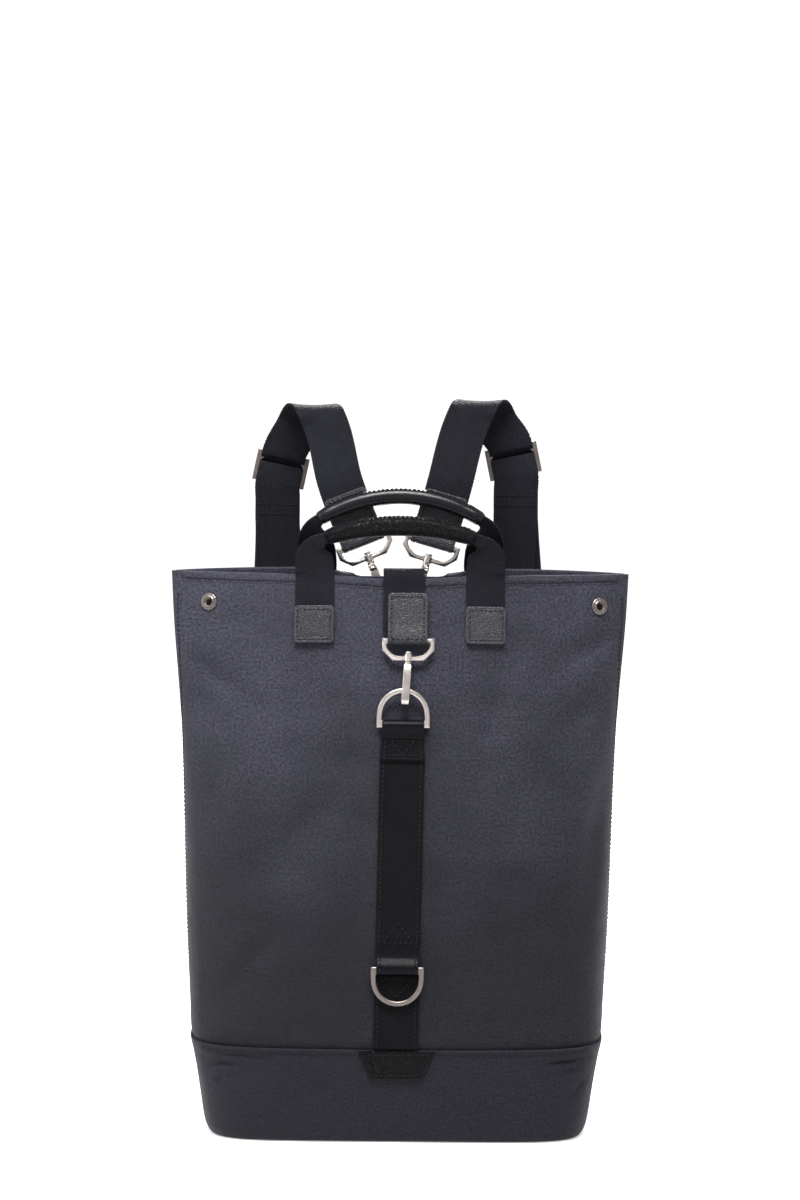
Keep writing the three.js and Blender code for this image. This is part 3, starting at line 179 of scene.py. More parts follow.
class Tree:
    """Short ways to place and join nodes in one node tree."""

    def __init__(self, tree):
        self.tree = tree

    def add(self, kind, inputs=(), **values):
        node = self.tree.nodes.new(kind)
        for key, value in values.items():
            setattr(node, key, value)
        for key, value in dict(inputs).items():
            self.feed(node.inputs[key], value)
        return node

    def feed(self, socket, value):
        if isinstance(value, bpy.types.NodeSocket):
            self.tree.links.new(value, socket)
        else:
            socket.default_value = value

    def math(self, operation, *values):
        return self.add("ShaderNodeMath", dict(enumerate(values)), operation=operation).outputs[0]

    def remap(self, value, low, high, to_low=0.0, to_high=1.0):
        inputs = {"Value": value, "From Min": low, "From Max": high,
                  "To Min": to_low, "To Max": to_high}
        return self.add("ShaderNodeMapRange", inputs, interpolation_type="SMOOTHSTEP").outputs[0]

    def mix_colour(self, share, first, second):
        node = self.add("ShaderNodeMix", data_type="RGBA")
        self.feed(node.inputs["Factor"], share)
        self.feed(node.inputs[6], first)
        self.feed(node.inputs[7], second)
        return node.outputs[2]

    def scaled(self, vector, scale):
        node = self.add("ShaderNodeVectorMath", {0: vector}, operation="SCALE")
        self.feed(node.inputs["Scale"], scale)
        return node.outputs[0]

    def noise(self, vector, scale, detail=3.0, roughness=0.5):
        inputs = {"Vector": vector, "Scale": scale, "Detail": detail, "Roughness": roughness}
        return self.add("ShaderNodeTexNoise", inputs).outputs["Fac"]


def node_group(name, inputs, outputs, build):
    """A shared effect, built the first time that a material asks for it."""
    if name in bpy.data.node_groups:
        return bpy.data.node_groups[name]
    group = bpy.data.node_groups.new(name, "ShaderNodeTree")
    for label, kind, default in inputs:
        socket = group.interface.new_socket(name=label, in_out="INPUT", socket_type=kind)
        if default is not None:
            socket.default_value = default
    for label in outputs:
        group.interface.new_socket(name=label, in_out="OUTPUT", socket_type="NodeSocketFloat")
    tree = Tree(group)
    source = tree.add("NodeGroupInput")
    result = build(tree, source.outputs)
    sink = tree.add("NodeGroupOutput")
    for label, socket in result.items():
        group.links.new(socket, sink.inputs[label])
    return group


def canvas_effect():
    """Canvas: fine slanting ribs broken into short floats, and a speckle of paler threads."""
    def build(tree, given):
        split = tree.add("ShaderNodeSeparateXYZ", {"Vector": given["Vector"]})
        across = tree.math("DIVIDE", split.outputs[0], given["Pitch"])
        along = tree.math("DIVIDE", split.outputs[1], given["Pitch"])
        wander = tree.math("MULTIPLY", tree.noise(given["Vector"], 240.0, 2.0), 1.6)
        slant = tree.math("ADD", tree.math("ADD", across, along), wander)
        rib = tree.math("ABSOLUTE", tree.math("SINE", tree.math("MULTIPLY", slant, math.pi)))
        lean = tree.math("MULTIPLY", tree.math("SUBTRACT", across, along), 1.9)
        cut = tree.math("ABSOLUTE", tree.math("SINE", lean))
        height = tree.math("MULTIPLY", rib, tree.remap(cut, 0.0, 1.0, 0.6, 1.0))
        speckle = tree.noise(given["Vector"], 500.0, 3.0, 0.8)
        return {"Height": height, "Speckle": tree.remap(speckle, 0.36, 0.64)}
    inputs = (("Vector", "NodeSocketVector", None), ("Pitch", "NodeSocketFloat", 0.0013))
    return node_group("Fine Canvas", inputs, ["Height", "Speckle"], build)


def twill_effect():
    """Twill: cords side by side along the band, with slanting floats across them."""
    def build(tree, given):
        split = tree.add("ShaderNodeSeparateXYZ", {"Vector": given["Vector"]})
        across = tree.math("DIVIDE", split.outputs[0], given["Pitch"])
        along = tree.math("DIVIDE", split.outputs[1], given["Pitch"])
        cord = tree.math("ABSOLUTE", tree.math("SINE", tree.math("MULTIPLY", across, math.pi)))
        step = tree.math("MULTIPLY", tree.math("FLOOR", across), 0.5)
        wave = tree.math("MULTIPLY", tree.math("ADD", along, step), math.pi)
        floats = tree.math("ABSOLUTE", tree.math("SINE", wave))
        rounded = tree.math("POWER", cord, 0.6)
        height = tree.math("MULTIPLY", rounded, tree.remap(floats, 0.0, 1.0, 0.35, 1.0))
        return {"Height": height, "Gap": tree.remap(height, 0.15, 0.7, 1.0, 0.0)}
    inputs = (("Vector", "NodeSocketVector", None), ("Pitch", "NodeSocketFloat", 0.0017))
    return node_group("Twill", inputs, ["Height", "Gap"], build)


def pebble_effect():
    """Pebbled grain: rounded cells of uneven size with fine creases between them."""
    def build(tree, given):
        drift = tree.noise(given["Vector"], 260.0, 2.0)
        offset = tree.math("MULTIPLY", tree.math("SUBTRACT", drift, 0.5), 0.0016)
        both = {0: given["Vector"], 1: offset}
        moved = tree.add("ShaderNodeVectorMath", both, operation="ADD").outputs[0]
        inputs = {"Vector": moved, "Scale": tree.math("DIVIDE", 1.0, given["Size"]),
                  "Randomness": 0.9}
        cells = tree.add("ShaderNodeTexVoronoi", inputs,
                         feature="DISTANCE_TO_EDGE").outputs["Distance"]
        height = tree.remap(cells, 0.0, 0.32)
        return {"Height": height, "Crease": tree.remap(cells, 0.0, 0.16, 1.0, 0.0)}
    inputs = (("Vector", "NodeSocketVector", None), ("Size", "NodeSocketFloat", 0.0015))
    return node_group("Pebbled Grain", inputs, ["Height", "Crease"], build)


def tone_and_top_light_effect():
    """Uneven tone: broad soft patches with a little fine mottling, and painted light from above
    that grows upwards.
    """
    def build(tree, given):
        broad = tree.noise(given["Vector"], 9.0, 3.0)
        fine = tree.noise(given["Vector"], 140.0, 3.0, 0.6)
        both = tree.math("ADD", tree.math("MULTIPLY", broad, 0.65),
                         tree.math("MULTIPLY", fine, 0.35))
        height = tree.add("ShaderNodeSeparateXYZ", {"Vector": given["Vector"]}).outputs[2]
        drift = tree.math("MULTIPLY", tree.math("SUBTRACT", broad, 0.5), 0.35)
        # Painted light from above: grows with height, so higher canvas is painted lighter
        worn = tree.remap(tree.math("ADD", height, drift), 0.10, 0.52)
        return {"Tone": tree.remap(both, 0.3, 0.7), "Wear": worn}
    inputs = (("Vector", "NodeSocketVector", None),)
    return node_group("Uneven Tone", inputs, ["Tone", "Wear"], build)


def crumple_effect():
    """Soft dents that handled canvas keeps, longer along one slant than the other."""
    def build(tree, given):
        turned = tree.add("ShaderNodeMapping", {"Vector": given["Vector"]})
        turned.inputs["Rotation"].default_value = (0, 0.75, 0)
        turned.inputs["Scale"].default_value = (1.0, 1.0, 2.4)
        bent = tree.noise(turned.outputs[0], 13.0, 2.0, 0.4)
        soft = tree.noise(given["Vector"], 10.0, 2.0)
        return {"Height": tree.math("ADD", bent, soft)}
    return node_group("Soft Dents", (("Vector", "NodeSocketVector", None),), ["Height"], build)


def effect(tree, group, **inputs):
    node = tree.add("ShaderNodeGroup", node_tree=group)
    for key, value in inputs.items():
        tree.feed(node.inputs[key], value)
    return node.outputs


def blank_material(name):
    """A new material with its output, its main shader and the constants of that shader."""
    material = bpy.data.materials.new(name)
    material.use_nodes = True
    material.node_tree.nodes.clear()
    tree = Tree(material.node_tree)
    shader = tree.add("ShaderNodeBsdfPrincipled")
    output = tree.add("ShaderNodeOutputMaterial")
    tree.tree.links.new(shader.outputs[0], output.inputs["Surface"])
    return material, tree, shader


def shades(colour, low, high):
    """A darker and a lighter version of one colour."""
    return [tuple(min(channel * share, 1.0) for channel in colour) + (1.0,)
            for share in (low, high)]


def bumped(tree, shader, layers):
    """Lays bump heights over each other. Each layer is a height and its depth in metres."""
    normal = None
    for height, depth in layers:
        bump = tree.add("ShaderNodeBump", {"Height": height, "Strength": 1.0, "Distance": depth})
        if normal is not None:
            tree.feed(bump.inputs["Normal"], normal)
        normal = bump.outputs[0]
    tree.feed(shader.inputs["Normal"], normal)


def cloth_plane(tree):
    """Flat coordinates in metres on whichever of the bag's sides a point lies."""
    here = tree.add("ShaderNodeTexCoord").outputs["Object"]
    facing = tree.add("ShaderNodeNewGeometry").outputs["Normal"]
    place = tree.add("ShaderNodeSeparateXYZ", {"Vector": here}).outputs
    look = tree.add("ShaderNodeSeparateXYZ", {"Vector": facing}).outputs
    aside = tree.math("GREATER_THAN", tree.math("ABSOLUTE", look[0]),
                      tree.math("ABSOLUTE", look[1]))
    flat = tree.math("GREATER_THAN", tree.math("ABSOLUTE", look[2]), 0.8)
    level = tree.add("ShaderNodeMix", {"Factor": aside, "A": place[0], "B": place[1]}).outputs[0]
    rise = tree.add("ShaderNodeMix", {"Factor": flat, "A": place[2], "B": place[1]}).outputs[0]
    plane = tree.add("ShaderNodeCombineXYZ", {"X": level, "Y": rise}).outputs[0]
    return here, plane


def wear_and_painted_light(tree):
    """What a mesh says of each place: over 0 worn smooth or bright, with a painted highlight on
    leather and metal edges; under 0 painted shade in a hollow.
    """
    return tree.add("ShaderNodeAttribute", attribute_name="worn").outputs["Fac"]


def canvas_material(name, colour, depth, low):
    """Canvas of one colour with painted light from above: lower down it is painted darker, by the
    share low, as if less lit.
    """
    material, tree, shader = blank_material(name)
    here, plane = cloth_plane(tree)
    weave = effect(tree, canvas_effect(), Vector=plane, Pitch=setting("cloth").thread_pitch)
    fade = effect(tree, tone_and_top_light_effect(), Vector=here)
    crumple = effect(tree, crumple_effect(), Vector=here)["Height"]
    # Painted light from above: full colour towards the top, painted shade of the share low lower
    # down
    deep, bright = shades(colour, low, 1.0)
    body = tree.mix_colour(fade["Wear"], deep, bright)
    dull = tree.math("MULTIPLY", tree.remap(fade["Tone"], 0.0, 1.0, 1.0, 0.0), 0.35)
    body = tree.mix_colour(dull, body, shades(colour, low * 0.8, 1.0)[0])
    speckle = tree.remap(weave["Speckle"], 0.0, 1.0, 0.60, 1.62)
    ribs = tree.remap(weave["Height"], 0.1, 0.8, 0.55, 1.05)
    # Painted shade where a mesh marks a hollow below 0, such as the hem's stitch groove
    groove = tree.remap(wear_and_painted_light(tree), -1.0, 0.0, 0.3, 1.0)
    share = tree.math("MULTIPLY", tree.math("MULTIPLY", speckle, ribs), groove)
    tree.feed(shader.inputs["Base Color"], tree.scaled(body, share))
    tree.feed(shader.inputs["Roughness"], tree.remap(fade["Tone"], 0.0, 1.0, 0.58, 0.70))
    shader.inputs["Sheen Weight"].default_value = 0.05
    shader.inputs["Sheen Roughness"].default_value = 0.4
    shader.inputs["Sheen Tint"].default_value = (0.75, 0.76, 0.88, 1.0)
    shader.inputs["Specular IOR Level"].default_value = 0.08
    bumped(tree, shader, [(crumple, depth), (weave["Height"], 0.00025),
                          (weave["Speckle"], 0.00012)])
    return material


def webbing_material(name, colour):
    """Twill webbing, darker between its cords and smooth where it is worn satin."""
    material, tree, shader = blank_material(name)
    place = tree.add("ShaderNodeUVMap", uv_map="weave").outputs[0]
    here = tree.add("ShaderNodeTexCoord").outputs["Object"]
    twill = effect(tree, twill_effect(), Vector=place, Pitch=setting("webbing").rib_pitch)
    tone = effect(tree, tone_and_top_light_effect(), Vector=here)["Tone"]
    satin = wear_and_painted_light(tree)
    dark, light = shades(colour, 0.7, 1.5)
    body = tree.mix_colour(tone, dark, light)
    gap = tree.math("MULTIPLY", twill["Gap"], tree.remap(satin, 0.0, 1.0, 1.0, 0.25))
    black = shades(colour, 0.25, 1.0)[0]
    tree.feed(shader.inputs["Base Color"], tree.mix_colour(gap, body, black))
    tree.feed(shader.inputs["Roughness"], tree.remap(satin, 0.0, 1.0, 0.62, 0.34))
    shader.inputs["Sheen Weight"].default_value = 0.015
    shader.inputs["Sheen Roughness"].default_value = 0.4
    shader.inputs["Sheen Tint"].default_value = (0.8, 0.8, 0.9, 1.0)
    shader.inputs["Specular IOR Level"].default_value = 0.05
    fuzz = tree.noise(here, 1500.0, 2.0)
    ribs = tree.math("MULTIPLY", twill["Height"], tree.remap(satin, 0.0, 1.0, 1.0, 0.2))
    bumped(tree, shader, [(ribs, 0.0005), (fuzz, 0.00012)])
    return material


def leather_material(name, colour, grain_depth, roughness, gloss):
    """Grained leather with a painted highlight along piped edges and painted shade in its stitch
    grooves and creases.
    """
    material, tree, shader = blank_material(name)
    here = tree.add("ShaderNodeTexCoord").outputs["Object"]
    grain = effect(tree, pebble_effect(), Vector=here, Size=setting("leather").pebble_size)
    tone = effect(tree, tone_and_top_light_effect(), Vector=here)["Tone"]
    worn = wear_and_painted_light(tree)
    dark, light = shades(colour, 0.8, 1.25)
    body = tree.mix_colour(tone, dark, light)
    # Painted highlight on piped edges above 0, painted shade in stitch grooves below 0
    hollow, edge_highlight = shades(colour, 0.15, 2.3)
    body = tree.mix_colour(tree.remap(worn, 0.0, 1.0, 0.0, 0.8), body, edge_highlight)
    body = tree.mix_colour(tree.remap(worn, -1.0, 0.0, 0.9, 0.0), body, hollow)
    # Painted shade in the grain's creases, darker the deeper the grain
    share = tree.math("MULTIPLY", grain["Crease"], min(1.0, grain_depth / DEEP_GRAIN))
    creased = tree.mix_colour(share, body, shades(colour, 0.3, 1.0)[0])
    tree.feed(shader.inputs["Base Color"], creased)
    rough = tree.remap(tone, 0.0, 1.0, roughness - 0.05, roughness + 0.06)
    tree.feed(shader.inputs["Roughness"], rough)
    shader.inputs["Specular IOR Level"].default_value = gloss
    pores = tree.noise(here, 2200.0, 2.0)
    bumped(tree, shader, [(grain["Height"], grain_depth), (pores, 0.00003)])
    return material


def metal_material(name, colour, roughness):
    """Aged plating: cloudy and darker on the flats, worn bright along the edges with a painted
    highlight there, and painted shade where a hollow is marked.
    """
    material, tree, shader = blank_material(name)
    here = tree.add("ShaderNodeTexCoord").outputs["Object"]
    cloudy = tree.noise(here, 60.0, 3.0, 0.5)
    dark, light = shades(colour, 0.72, 1.15)
    # bright: worn plating and a painted highlight along the rounded edges; black: painted shade in
    # a stud's hole
    black, bright = shades(colour, 0.05, 2.1)
    body = tree.mix_colour(tree.remap(cloudy, 0.4, 0.66), light, dark)
    worn = wear_and_painted_light(tree)
    body = tree.mix_colour(tree.remap(worn, 0.0, 1.0, 0.0, 0.85), body, bright)
    # Painted shade where a mesh marks a hollow below 0
    hollow = tree.remap(worn, -1.0, 0.0, 0.92, 0.0)
    tree.feed(shader.inputs["Base Color"], tree.mix_colour(hollow, body, black))
    shader.inputs["Metallic"].default_value = 1.0
    rough = tree.remap(cloudy, 0.3, 0.7, roughness - 0.05, roughness + 0.08)
    tree.feed(shader.inputs["Roughness"], rough)
    brushed = tree.noise(here, 700.0, 2.0, 0.5)
    bumped(tree, shader, [(brushed, 0.00001)])
    return material


def thread_material():
    material, tree, shader = blank_material("Sewing thread")
    here = tree.add("ShaderNodeTexCoord").outputs["Object"]
    twist = tree.noise(here, 2400.0, 1.0)
    dark, light = shades(setting("stitch").colour, 0.6, 1.6)
    tree.feed(shader.inputs["Base Color"], tree.mix_colour(twist, dark, light))
    tree.feed(shader.inputs["Roughness"], tree.remap(twist, 0.0, 1.0, 0.5, 0.65))
    shader.inputs["Specular IOR Level"].default_value = 0.12
    bumped(tree, shader, [(twist, 0.00006)])
    return material


def floor_material():
    material, tree, shader = blank_material("Pale studio floor")
    here = tree.add("ShaderNodeTexCoord").outputs["Object"]
    tone = tree.noise(here, 1.5, 2.0)
    pale = ((0.62, 0.62, 0.62, 1), (0.64, 0.64, 0.64, 1))
    tree.feed(shader.inputs["Base Color"], tree.mix_colour(tone, *pale))
    tree.feed(shader.inputs["Emission Color"], tree.mix_colour(tone, *pale))
    shader.inputs["Emission Strength"].default_value = 0.68
    tree.feed(shader.inputs["Roughness"], tree.remap(tone, 0.0, 1.0, 0.85, 0.95))
    return material


def leather_finish(name, colour, grain, roughness, gloss):
    """A maker of one leather, which reads its colour setting when it is called."""
    return lambda: leather_material(
        name, getattr(setting("leather"), colour), grain, roughness, gloss)


MAKERS = {
    # The last number of each canvas is how dark the painted shade leaves its lowest part
    "canvas": lambda: canvas_material("Panel canvas", setting("cloth").panel_colour, 0.005, 0.30),
    "band_canvas": lambda: canvas_material("Band canvas", setting("cloth").band_colour, 0.002, 0.9),
    "dark_webbing": lambda: webbing_material("Twill webbing", setting("webbing").colour),
    "deep_webbing": lambda: webbing_material("Deep twill webbing", setting("webbing").deep_colour),
    "pebbled_leather": leather_finish("Pebbled leather", "tab_colour", 0.00026, 0.46, 0.22),
    "grip_leather": leather_finish("Smooth grip leather", "grip_colour", 0.00003, 0.27, 0.15),
    "black_leather": leather_finish("Black pebbled leather", "black_colour", 0.0004, 0.32, 0.05),
    "aged_nickel": lambda: metal_material("Antique nickel", setting("metal").bright_colour, 0.30),
    "dark_nickel": lambda: metal_material("Dark nickel", setting("metal").dark_colour, 0.36),
    "thread": thread_material,
}
made_materials = {}


def material_for(slot):
    if slot not in made_materials:
        made_materials[slot] = MAKERS[slot]()
    return made_materials[slot]


# Meshes and pieces

def slot_of(node):
    for row in frame["record"]["subparts"]:
        if row["node"] == node:
            return row["material_slot"]
    raise ValueError(f"no material slot for {node}")


def body_of_node(node):
    for body, nodes in frame["record"]["behaviour"]["bodies"].items():
        if node in nodes:
            return body
    raise ValueError(f"no body for {node}")


def merged_copy(node):
    """A copy of a solid's mesh with its loose triangles joined."""
    bm = bmesh.new()
    bm.from_mesh(frame["nodes"][node].data)
    bmesh.ops.remove_doubles(bm, verts=bm.verts, dist=1e-6)
    return bm


def piece(bm, name, slot, node=None, smooth=True, finish=None):
    """Makes an object of a mesh, and rides it on the body of the solid that it replaces."""
    bmesh.ops.recalc_face_normals(bm, faces=bm.faces)
    mesh = bpy.data.meshes.new(name)
    for face in bm.faces:
        face.smooth = smooth
    bm.to_mesh(mesh)
    bm.free()
    mesh.materials.append(material_for(finish or slot))
    thing = bpy.data.objects.new(name, mesh)
    bpy.context.scene.collection.objects.link(thing)
    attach(thing, body_of_node(node) if node else BAG)
    if node:
        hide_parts(node)
    return thing


def subdivided(bm, levels):
    """The same mesh after a number of smooth subdivisions, as a new editable mesh."""
    mesh = bpy.data.meshes.new("cage")
    bm.to_mesh(mesh)
    bm.free()
    thing = bpy.data.objects.new("cage", mesh)
    bpy.context.scene.collection.objects.link(thing)
    finer = thing.modifiers.new("Smooth", "SUBSURF")
    finer.levels = levels
    finer.render_levels = levels
    graph = bpy.context.evaluated_depsgraph_get()
    result = bpy.data.meshes.new_from_object(thing.evaluated_get(graph))
    bpy.data.objects.remove(thing)
    fine = bmesh.new()
    fine.from_mesh(result)
    bpy.data.meshes.remove(mesh)
    bpy.data.meshes.remove(result)
    return fine


def loop_of(bm, points):
    """A closed loop of new vertices and edges."""
    verts = [bm.verts.new(point) for point in points]
    edges = [bm.edges.new((verts[i], verts[(i + 1) % len(verts)])) for i in range(len(verts))]
    return verts, edges


def swept(rings, looped=False, marks=None, wear=None):
    """Extrudes a loop through rings of places. marks and wear give each place's UV, and its
    wear and painted light.
    """
    bm = bmesh.new()
    uv = bm.loops.layers.uv.new("weave") if marks else None
    worn = bm.verts.layers.float.new("worn") if wear else None
    verts, edges = loop_of(bm, rings[0])
    rows = [verts]
    first_edges = edges
    for ring in rings[1:]:
        made = bmesh.ops.extrude_edge_only(bm, edges=edges)["geom"]
        fresh = {item for item in made if isinstance(item, bmesh.types.BMVert)}
        verts = [next(e.other_vert(v) for e in v.link_edges if e.other_vert(v) in fresh)
                 for v in verts]
        edges = [item for item in made if isinstance(item, bmesh.types.BMEdge)
                 and all(v in fresh for v in item.verts)]
        for vert, place in zip(verts, ring):
            vert.co = place
        rows.append(verts)
    if looped:
        bmesh.ops.bridge_loops(bm, edges=first_edges + edges)
    else:
        for ends in (rows[0], rows[-1]):
            bmesh.ops.contextual_create(bm, geom=ends)
    if marks:
        where = by_vertex(rows, marks)
        for face in bm.faces:
            for loop in face.loops:
                loop[uv].uv = where[loop.vert]
    if wear:
        for vert, value in by_vertex(rows, wear).items():
            vert[worn] = value
    return bm


def by_vertex(rows, values):
    """The value of each vertex of rows of vertices."""
    found = {}
    for row, given in zip(rows, values):
        found.update(zip(row, given))
    return found


class Band:
    """A flat band read from its solid: places, directions and sizes along its length."""

    def __init__(self, node, first, outward):
        bm = merged_copy(node)
        hubs = [v for v in bm.verts if len(v.link_edges) == 4 and (
            sum((e.other_vert(v).co for e in v.link_edges), Vector()) / 4 - v.co).length < 2e-6]
        hub = max(hubs, key=lambda v: v.co.dot(Vector(first)))
        layers = [{e.other_vert(hub) for e in hub.link_edges}]
        seen = {hub} | layers[0]
        while True:
            following = {e.other_vert(v) for v in layers[-1] for e in v.link_edges} - seen
            following = {v for v in following if v not in hubs}
            if not following:
                break
            layers.append(following)
            seen |= following
        ring = self.square(layers[0], Vector(outward))
        rings = [[v.co.copy() for v in ring]]
        for layer in layers[1:]:
            rings.append(self.matched(rings[-1], [v.co.copy() for v in layer]))
        bm.free()
        self.node = node
        self.centres = [sum(ring, Vector()) / 4 for ring in rings]
        self.across = [((r[1] - r[0]) + (r[2] - r[3])).normalized() for r in rings]
        self.face = [((r[0] - r[3]) + (r[1] - r[2])).normalized() for r in rings]
        self.widths = [((r[1] - r[0]).length + (r[2] - r[3]).length) / 2 for r in rings]
        self.gauges = [(r[0] - r[3]).length for r in rings]
        self.stops = [0.0]
        for before, after in zip(self.centres, self.centres[1:]):
            self.stops.append(self.stops[-1] + (after - before).length)
        self.length = self.stops[-1]

    @staticmethod
    def square(layer, outward):
        """The first ring in order, with its outer long edge first."""
        points = list(layer)
        middle = sum((v.co for v in points), Vector()) / 4
        def spread(order):
            a, b, c, d = (v.co for v in order)
            return (b - a).length + (c - d).length - (a - d).length - (b - c).length
        def proud(order):
            return ((order[0].co + order[1].co) / 2 - middle).dot(outward)
        def skew(order):
            a, b, c, d = (v.co for v in order)
            return ((b - a) - (c - d)).length
        level = [order for order in permutations(points) if skew(order) < 0.3 * MM]
        best = max(spread(order) for order in level)
        fitting = [order for order in level if spread(order) > best - 0.1 * MM and proud(order) > 0]
        return max(fitting, key=lambda o: (o[1].co - o[0].co).dot(Vector((1, 0.01, 0.1))))

    @staticmethod
    def matched(before, after):
        """The next ring's places in the order of the ring before it."""
        old = sum(before, Vector()) / 4
        new = sum(after, Vector()) / 4
        def drift(order):
            return sum(((b - new) - (a - old)).length_squared for a, b in zip(before, order))
        return list(min(permutations(after), key=drift))

    def tangent(self, i):
        """The band's slope at one of its rings, weighed by the spans on both sides."""
        if i == 0 or i == len(self.stops) - 1:
            j = min(i, len(self.stops) - 2)
            return (self.centres[j + 1] - self.centres[j]) / (self.stops[j + 1] - self.stops[j])
        before = self.stops[i] - self.stops[i - 1]
        after = self.stops[i + 1] - self.stops[i]
        slope_a = (self.centres[i] - self.centres[i - 1]) / before
        slope_b = (self.centres[i + 1] - self.centres[i]) / after
        return (slope_a * after + slope_b * before) / (before + after)

    def sample(self, s):
        """Centre, across, along and face directions, width and gauge at a length."""
        s = min(max(s, 0.0), self.length)
        i = min(bisect_right(self.stops, s), len(self.stops) - 1) - 1
        span = self.stops[i + 1] - self.stops[i]
        t = (s - self.stops[i]) / span
        p0, p1 = self.centres[i], self.centres[i + 1]
        m0, m1 = self.tangent(i) * span, self.tangent(i + 1) * span
        cubic = 2 * t ** 3 - 3 * t ** 2
        centre = ((cubic + 1) * p0 + (t ** 3 - 2 * t ** 2 + t) * m0
                  - cubic * p1 + (t ** 3 - t ** 2) * m1)
        slope = ((6 * t ** 2 - 6 * t) * (p0 - p1)
                 + (3 * t ** 2 - 4 * t + 1) * m0 + (3 * t ** 2 - 2 * t) * m1)
        along = slope.normalized()
        across = self.across[i].lerp(self.across[i + 1], t)
        across = (across - along * across.dot(along)).normalized()
        face = across.cross(along)
        if face.dot(self.face[i].lerp(self.face[i + 1], t)) < 0:
            face.negate()
        width = self.widths[i] + (self.widths[i + 1] - self.widths[i]) * t
        gauge = self.gauges[i] + (self.gauges[i + 1] - self.gauges[i]) * t
        return centre, across, along, face, width, gauge

    def at(self, s, u, side=1):
        """A place on one of its faces with its outward and lengthways directions."""
        centre, across, along, face, _, gauge = self.sample(s)
        return centre + across * u + face * (side * gauge / 2), face * side, along

    def steps(self, pitch):
        """Lengths along the band, close together at each bend."""
        stops = {0.0, self.length}
        for start, stop in zip(self.stops, self.stops[1:]):
            count = max(1, math.ceil((stop - start) / pitch))
            stops |= {start + (stop - start) * k / count for k in range(count)}
        return sorted(stops)


def rounded_section(width, gauge, flat_points, rim):
    """Half a band's section: its places from one edge to the other, as (u, height) pairs."""
    half = width / 2
    inner = half - rim
    top = [(inner * (2 * k / flat_points - 1), gauge / 2) for k in range(flat_points + 1)]
    left = [(-half, gauge * 0.12), (-half + rim * 0.3, gauge * 0.4)]
    right = [(-u, h) for u, h in reversed(left)]
    upper = left + top + right
    return upper + [(u, -h) for u, h in reversed(upper)]


def corner_cut(s, length, radius):
    """How much narrower each side is near an end whose corners are rounded."""
    near = min(s, length - s)
    if near >= radius:
        return 0.0
    return radius - math.sqrt(max(radius ** 2 - (radius - near) ** 2, 0.0))


# Distance between the loops of the weft along a band's edges
WEFT_PITCH = 4.2 * MM


def band_mesh(band, pitch, flat_points, rim, corner=0.0, relief=None, waver=0.0, worn=None):
    """Sweeps a band's section along it. relief(s, u, width) lifts its faces a little, waver is
    how far the loops of the weft stand out along its edges, and worn(s, u, width) is its wear
    and painted light."""
    rings = []
    marks = []
    wear = []
    stops = band.steps(pitch)
    if corner:
        extra = [corner * share for share in (0.08, 0.25, 0.5, 0.75)]
        stops = sorted(set(stops) | set(extra) | {band.length - s for s in extra})
    for s in stops:
        centre, across, _, face, width, gauge = band.sample(s)
        narrow = width - 2 * corner_cut(s, band.length, corner)
        section = rounded_section(narrow, gauge, flat_points, min(rim, narrow / 3))
        ring = []
        for u, h in section:
            lift = relief(s, u, narrow) if relief and abs(u) < narrow / 2 - 1e-9 else 0.0
            level = h + math.copysign(lift, h)
            at_edge = abs(u) > narrow / 2 - rim / 2
            sway = waver * math.sin(s * 2 * math.pi / WEFT_PITCH) if at_edge else 0.0
            ring.append(centre + across * (u + math.copysign(sway, u)) + face * level)
        rings.append(ring)
        marks.append([(u, s) for u, _ in section])
        wear.append([worn(s, u, narrow) if worn else 0.0 for u, _ in section])
    return swept(rings, marks=marks, wear=wear)


# Sewing thread

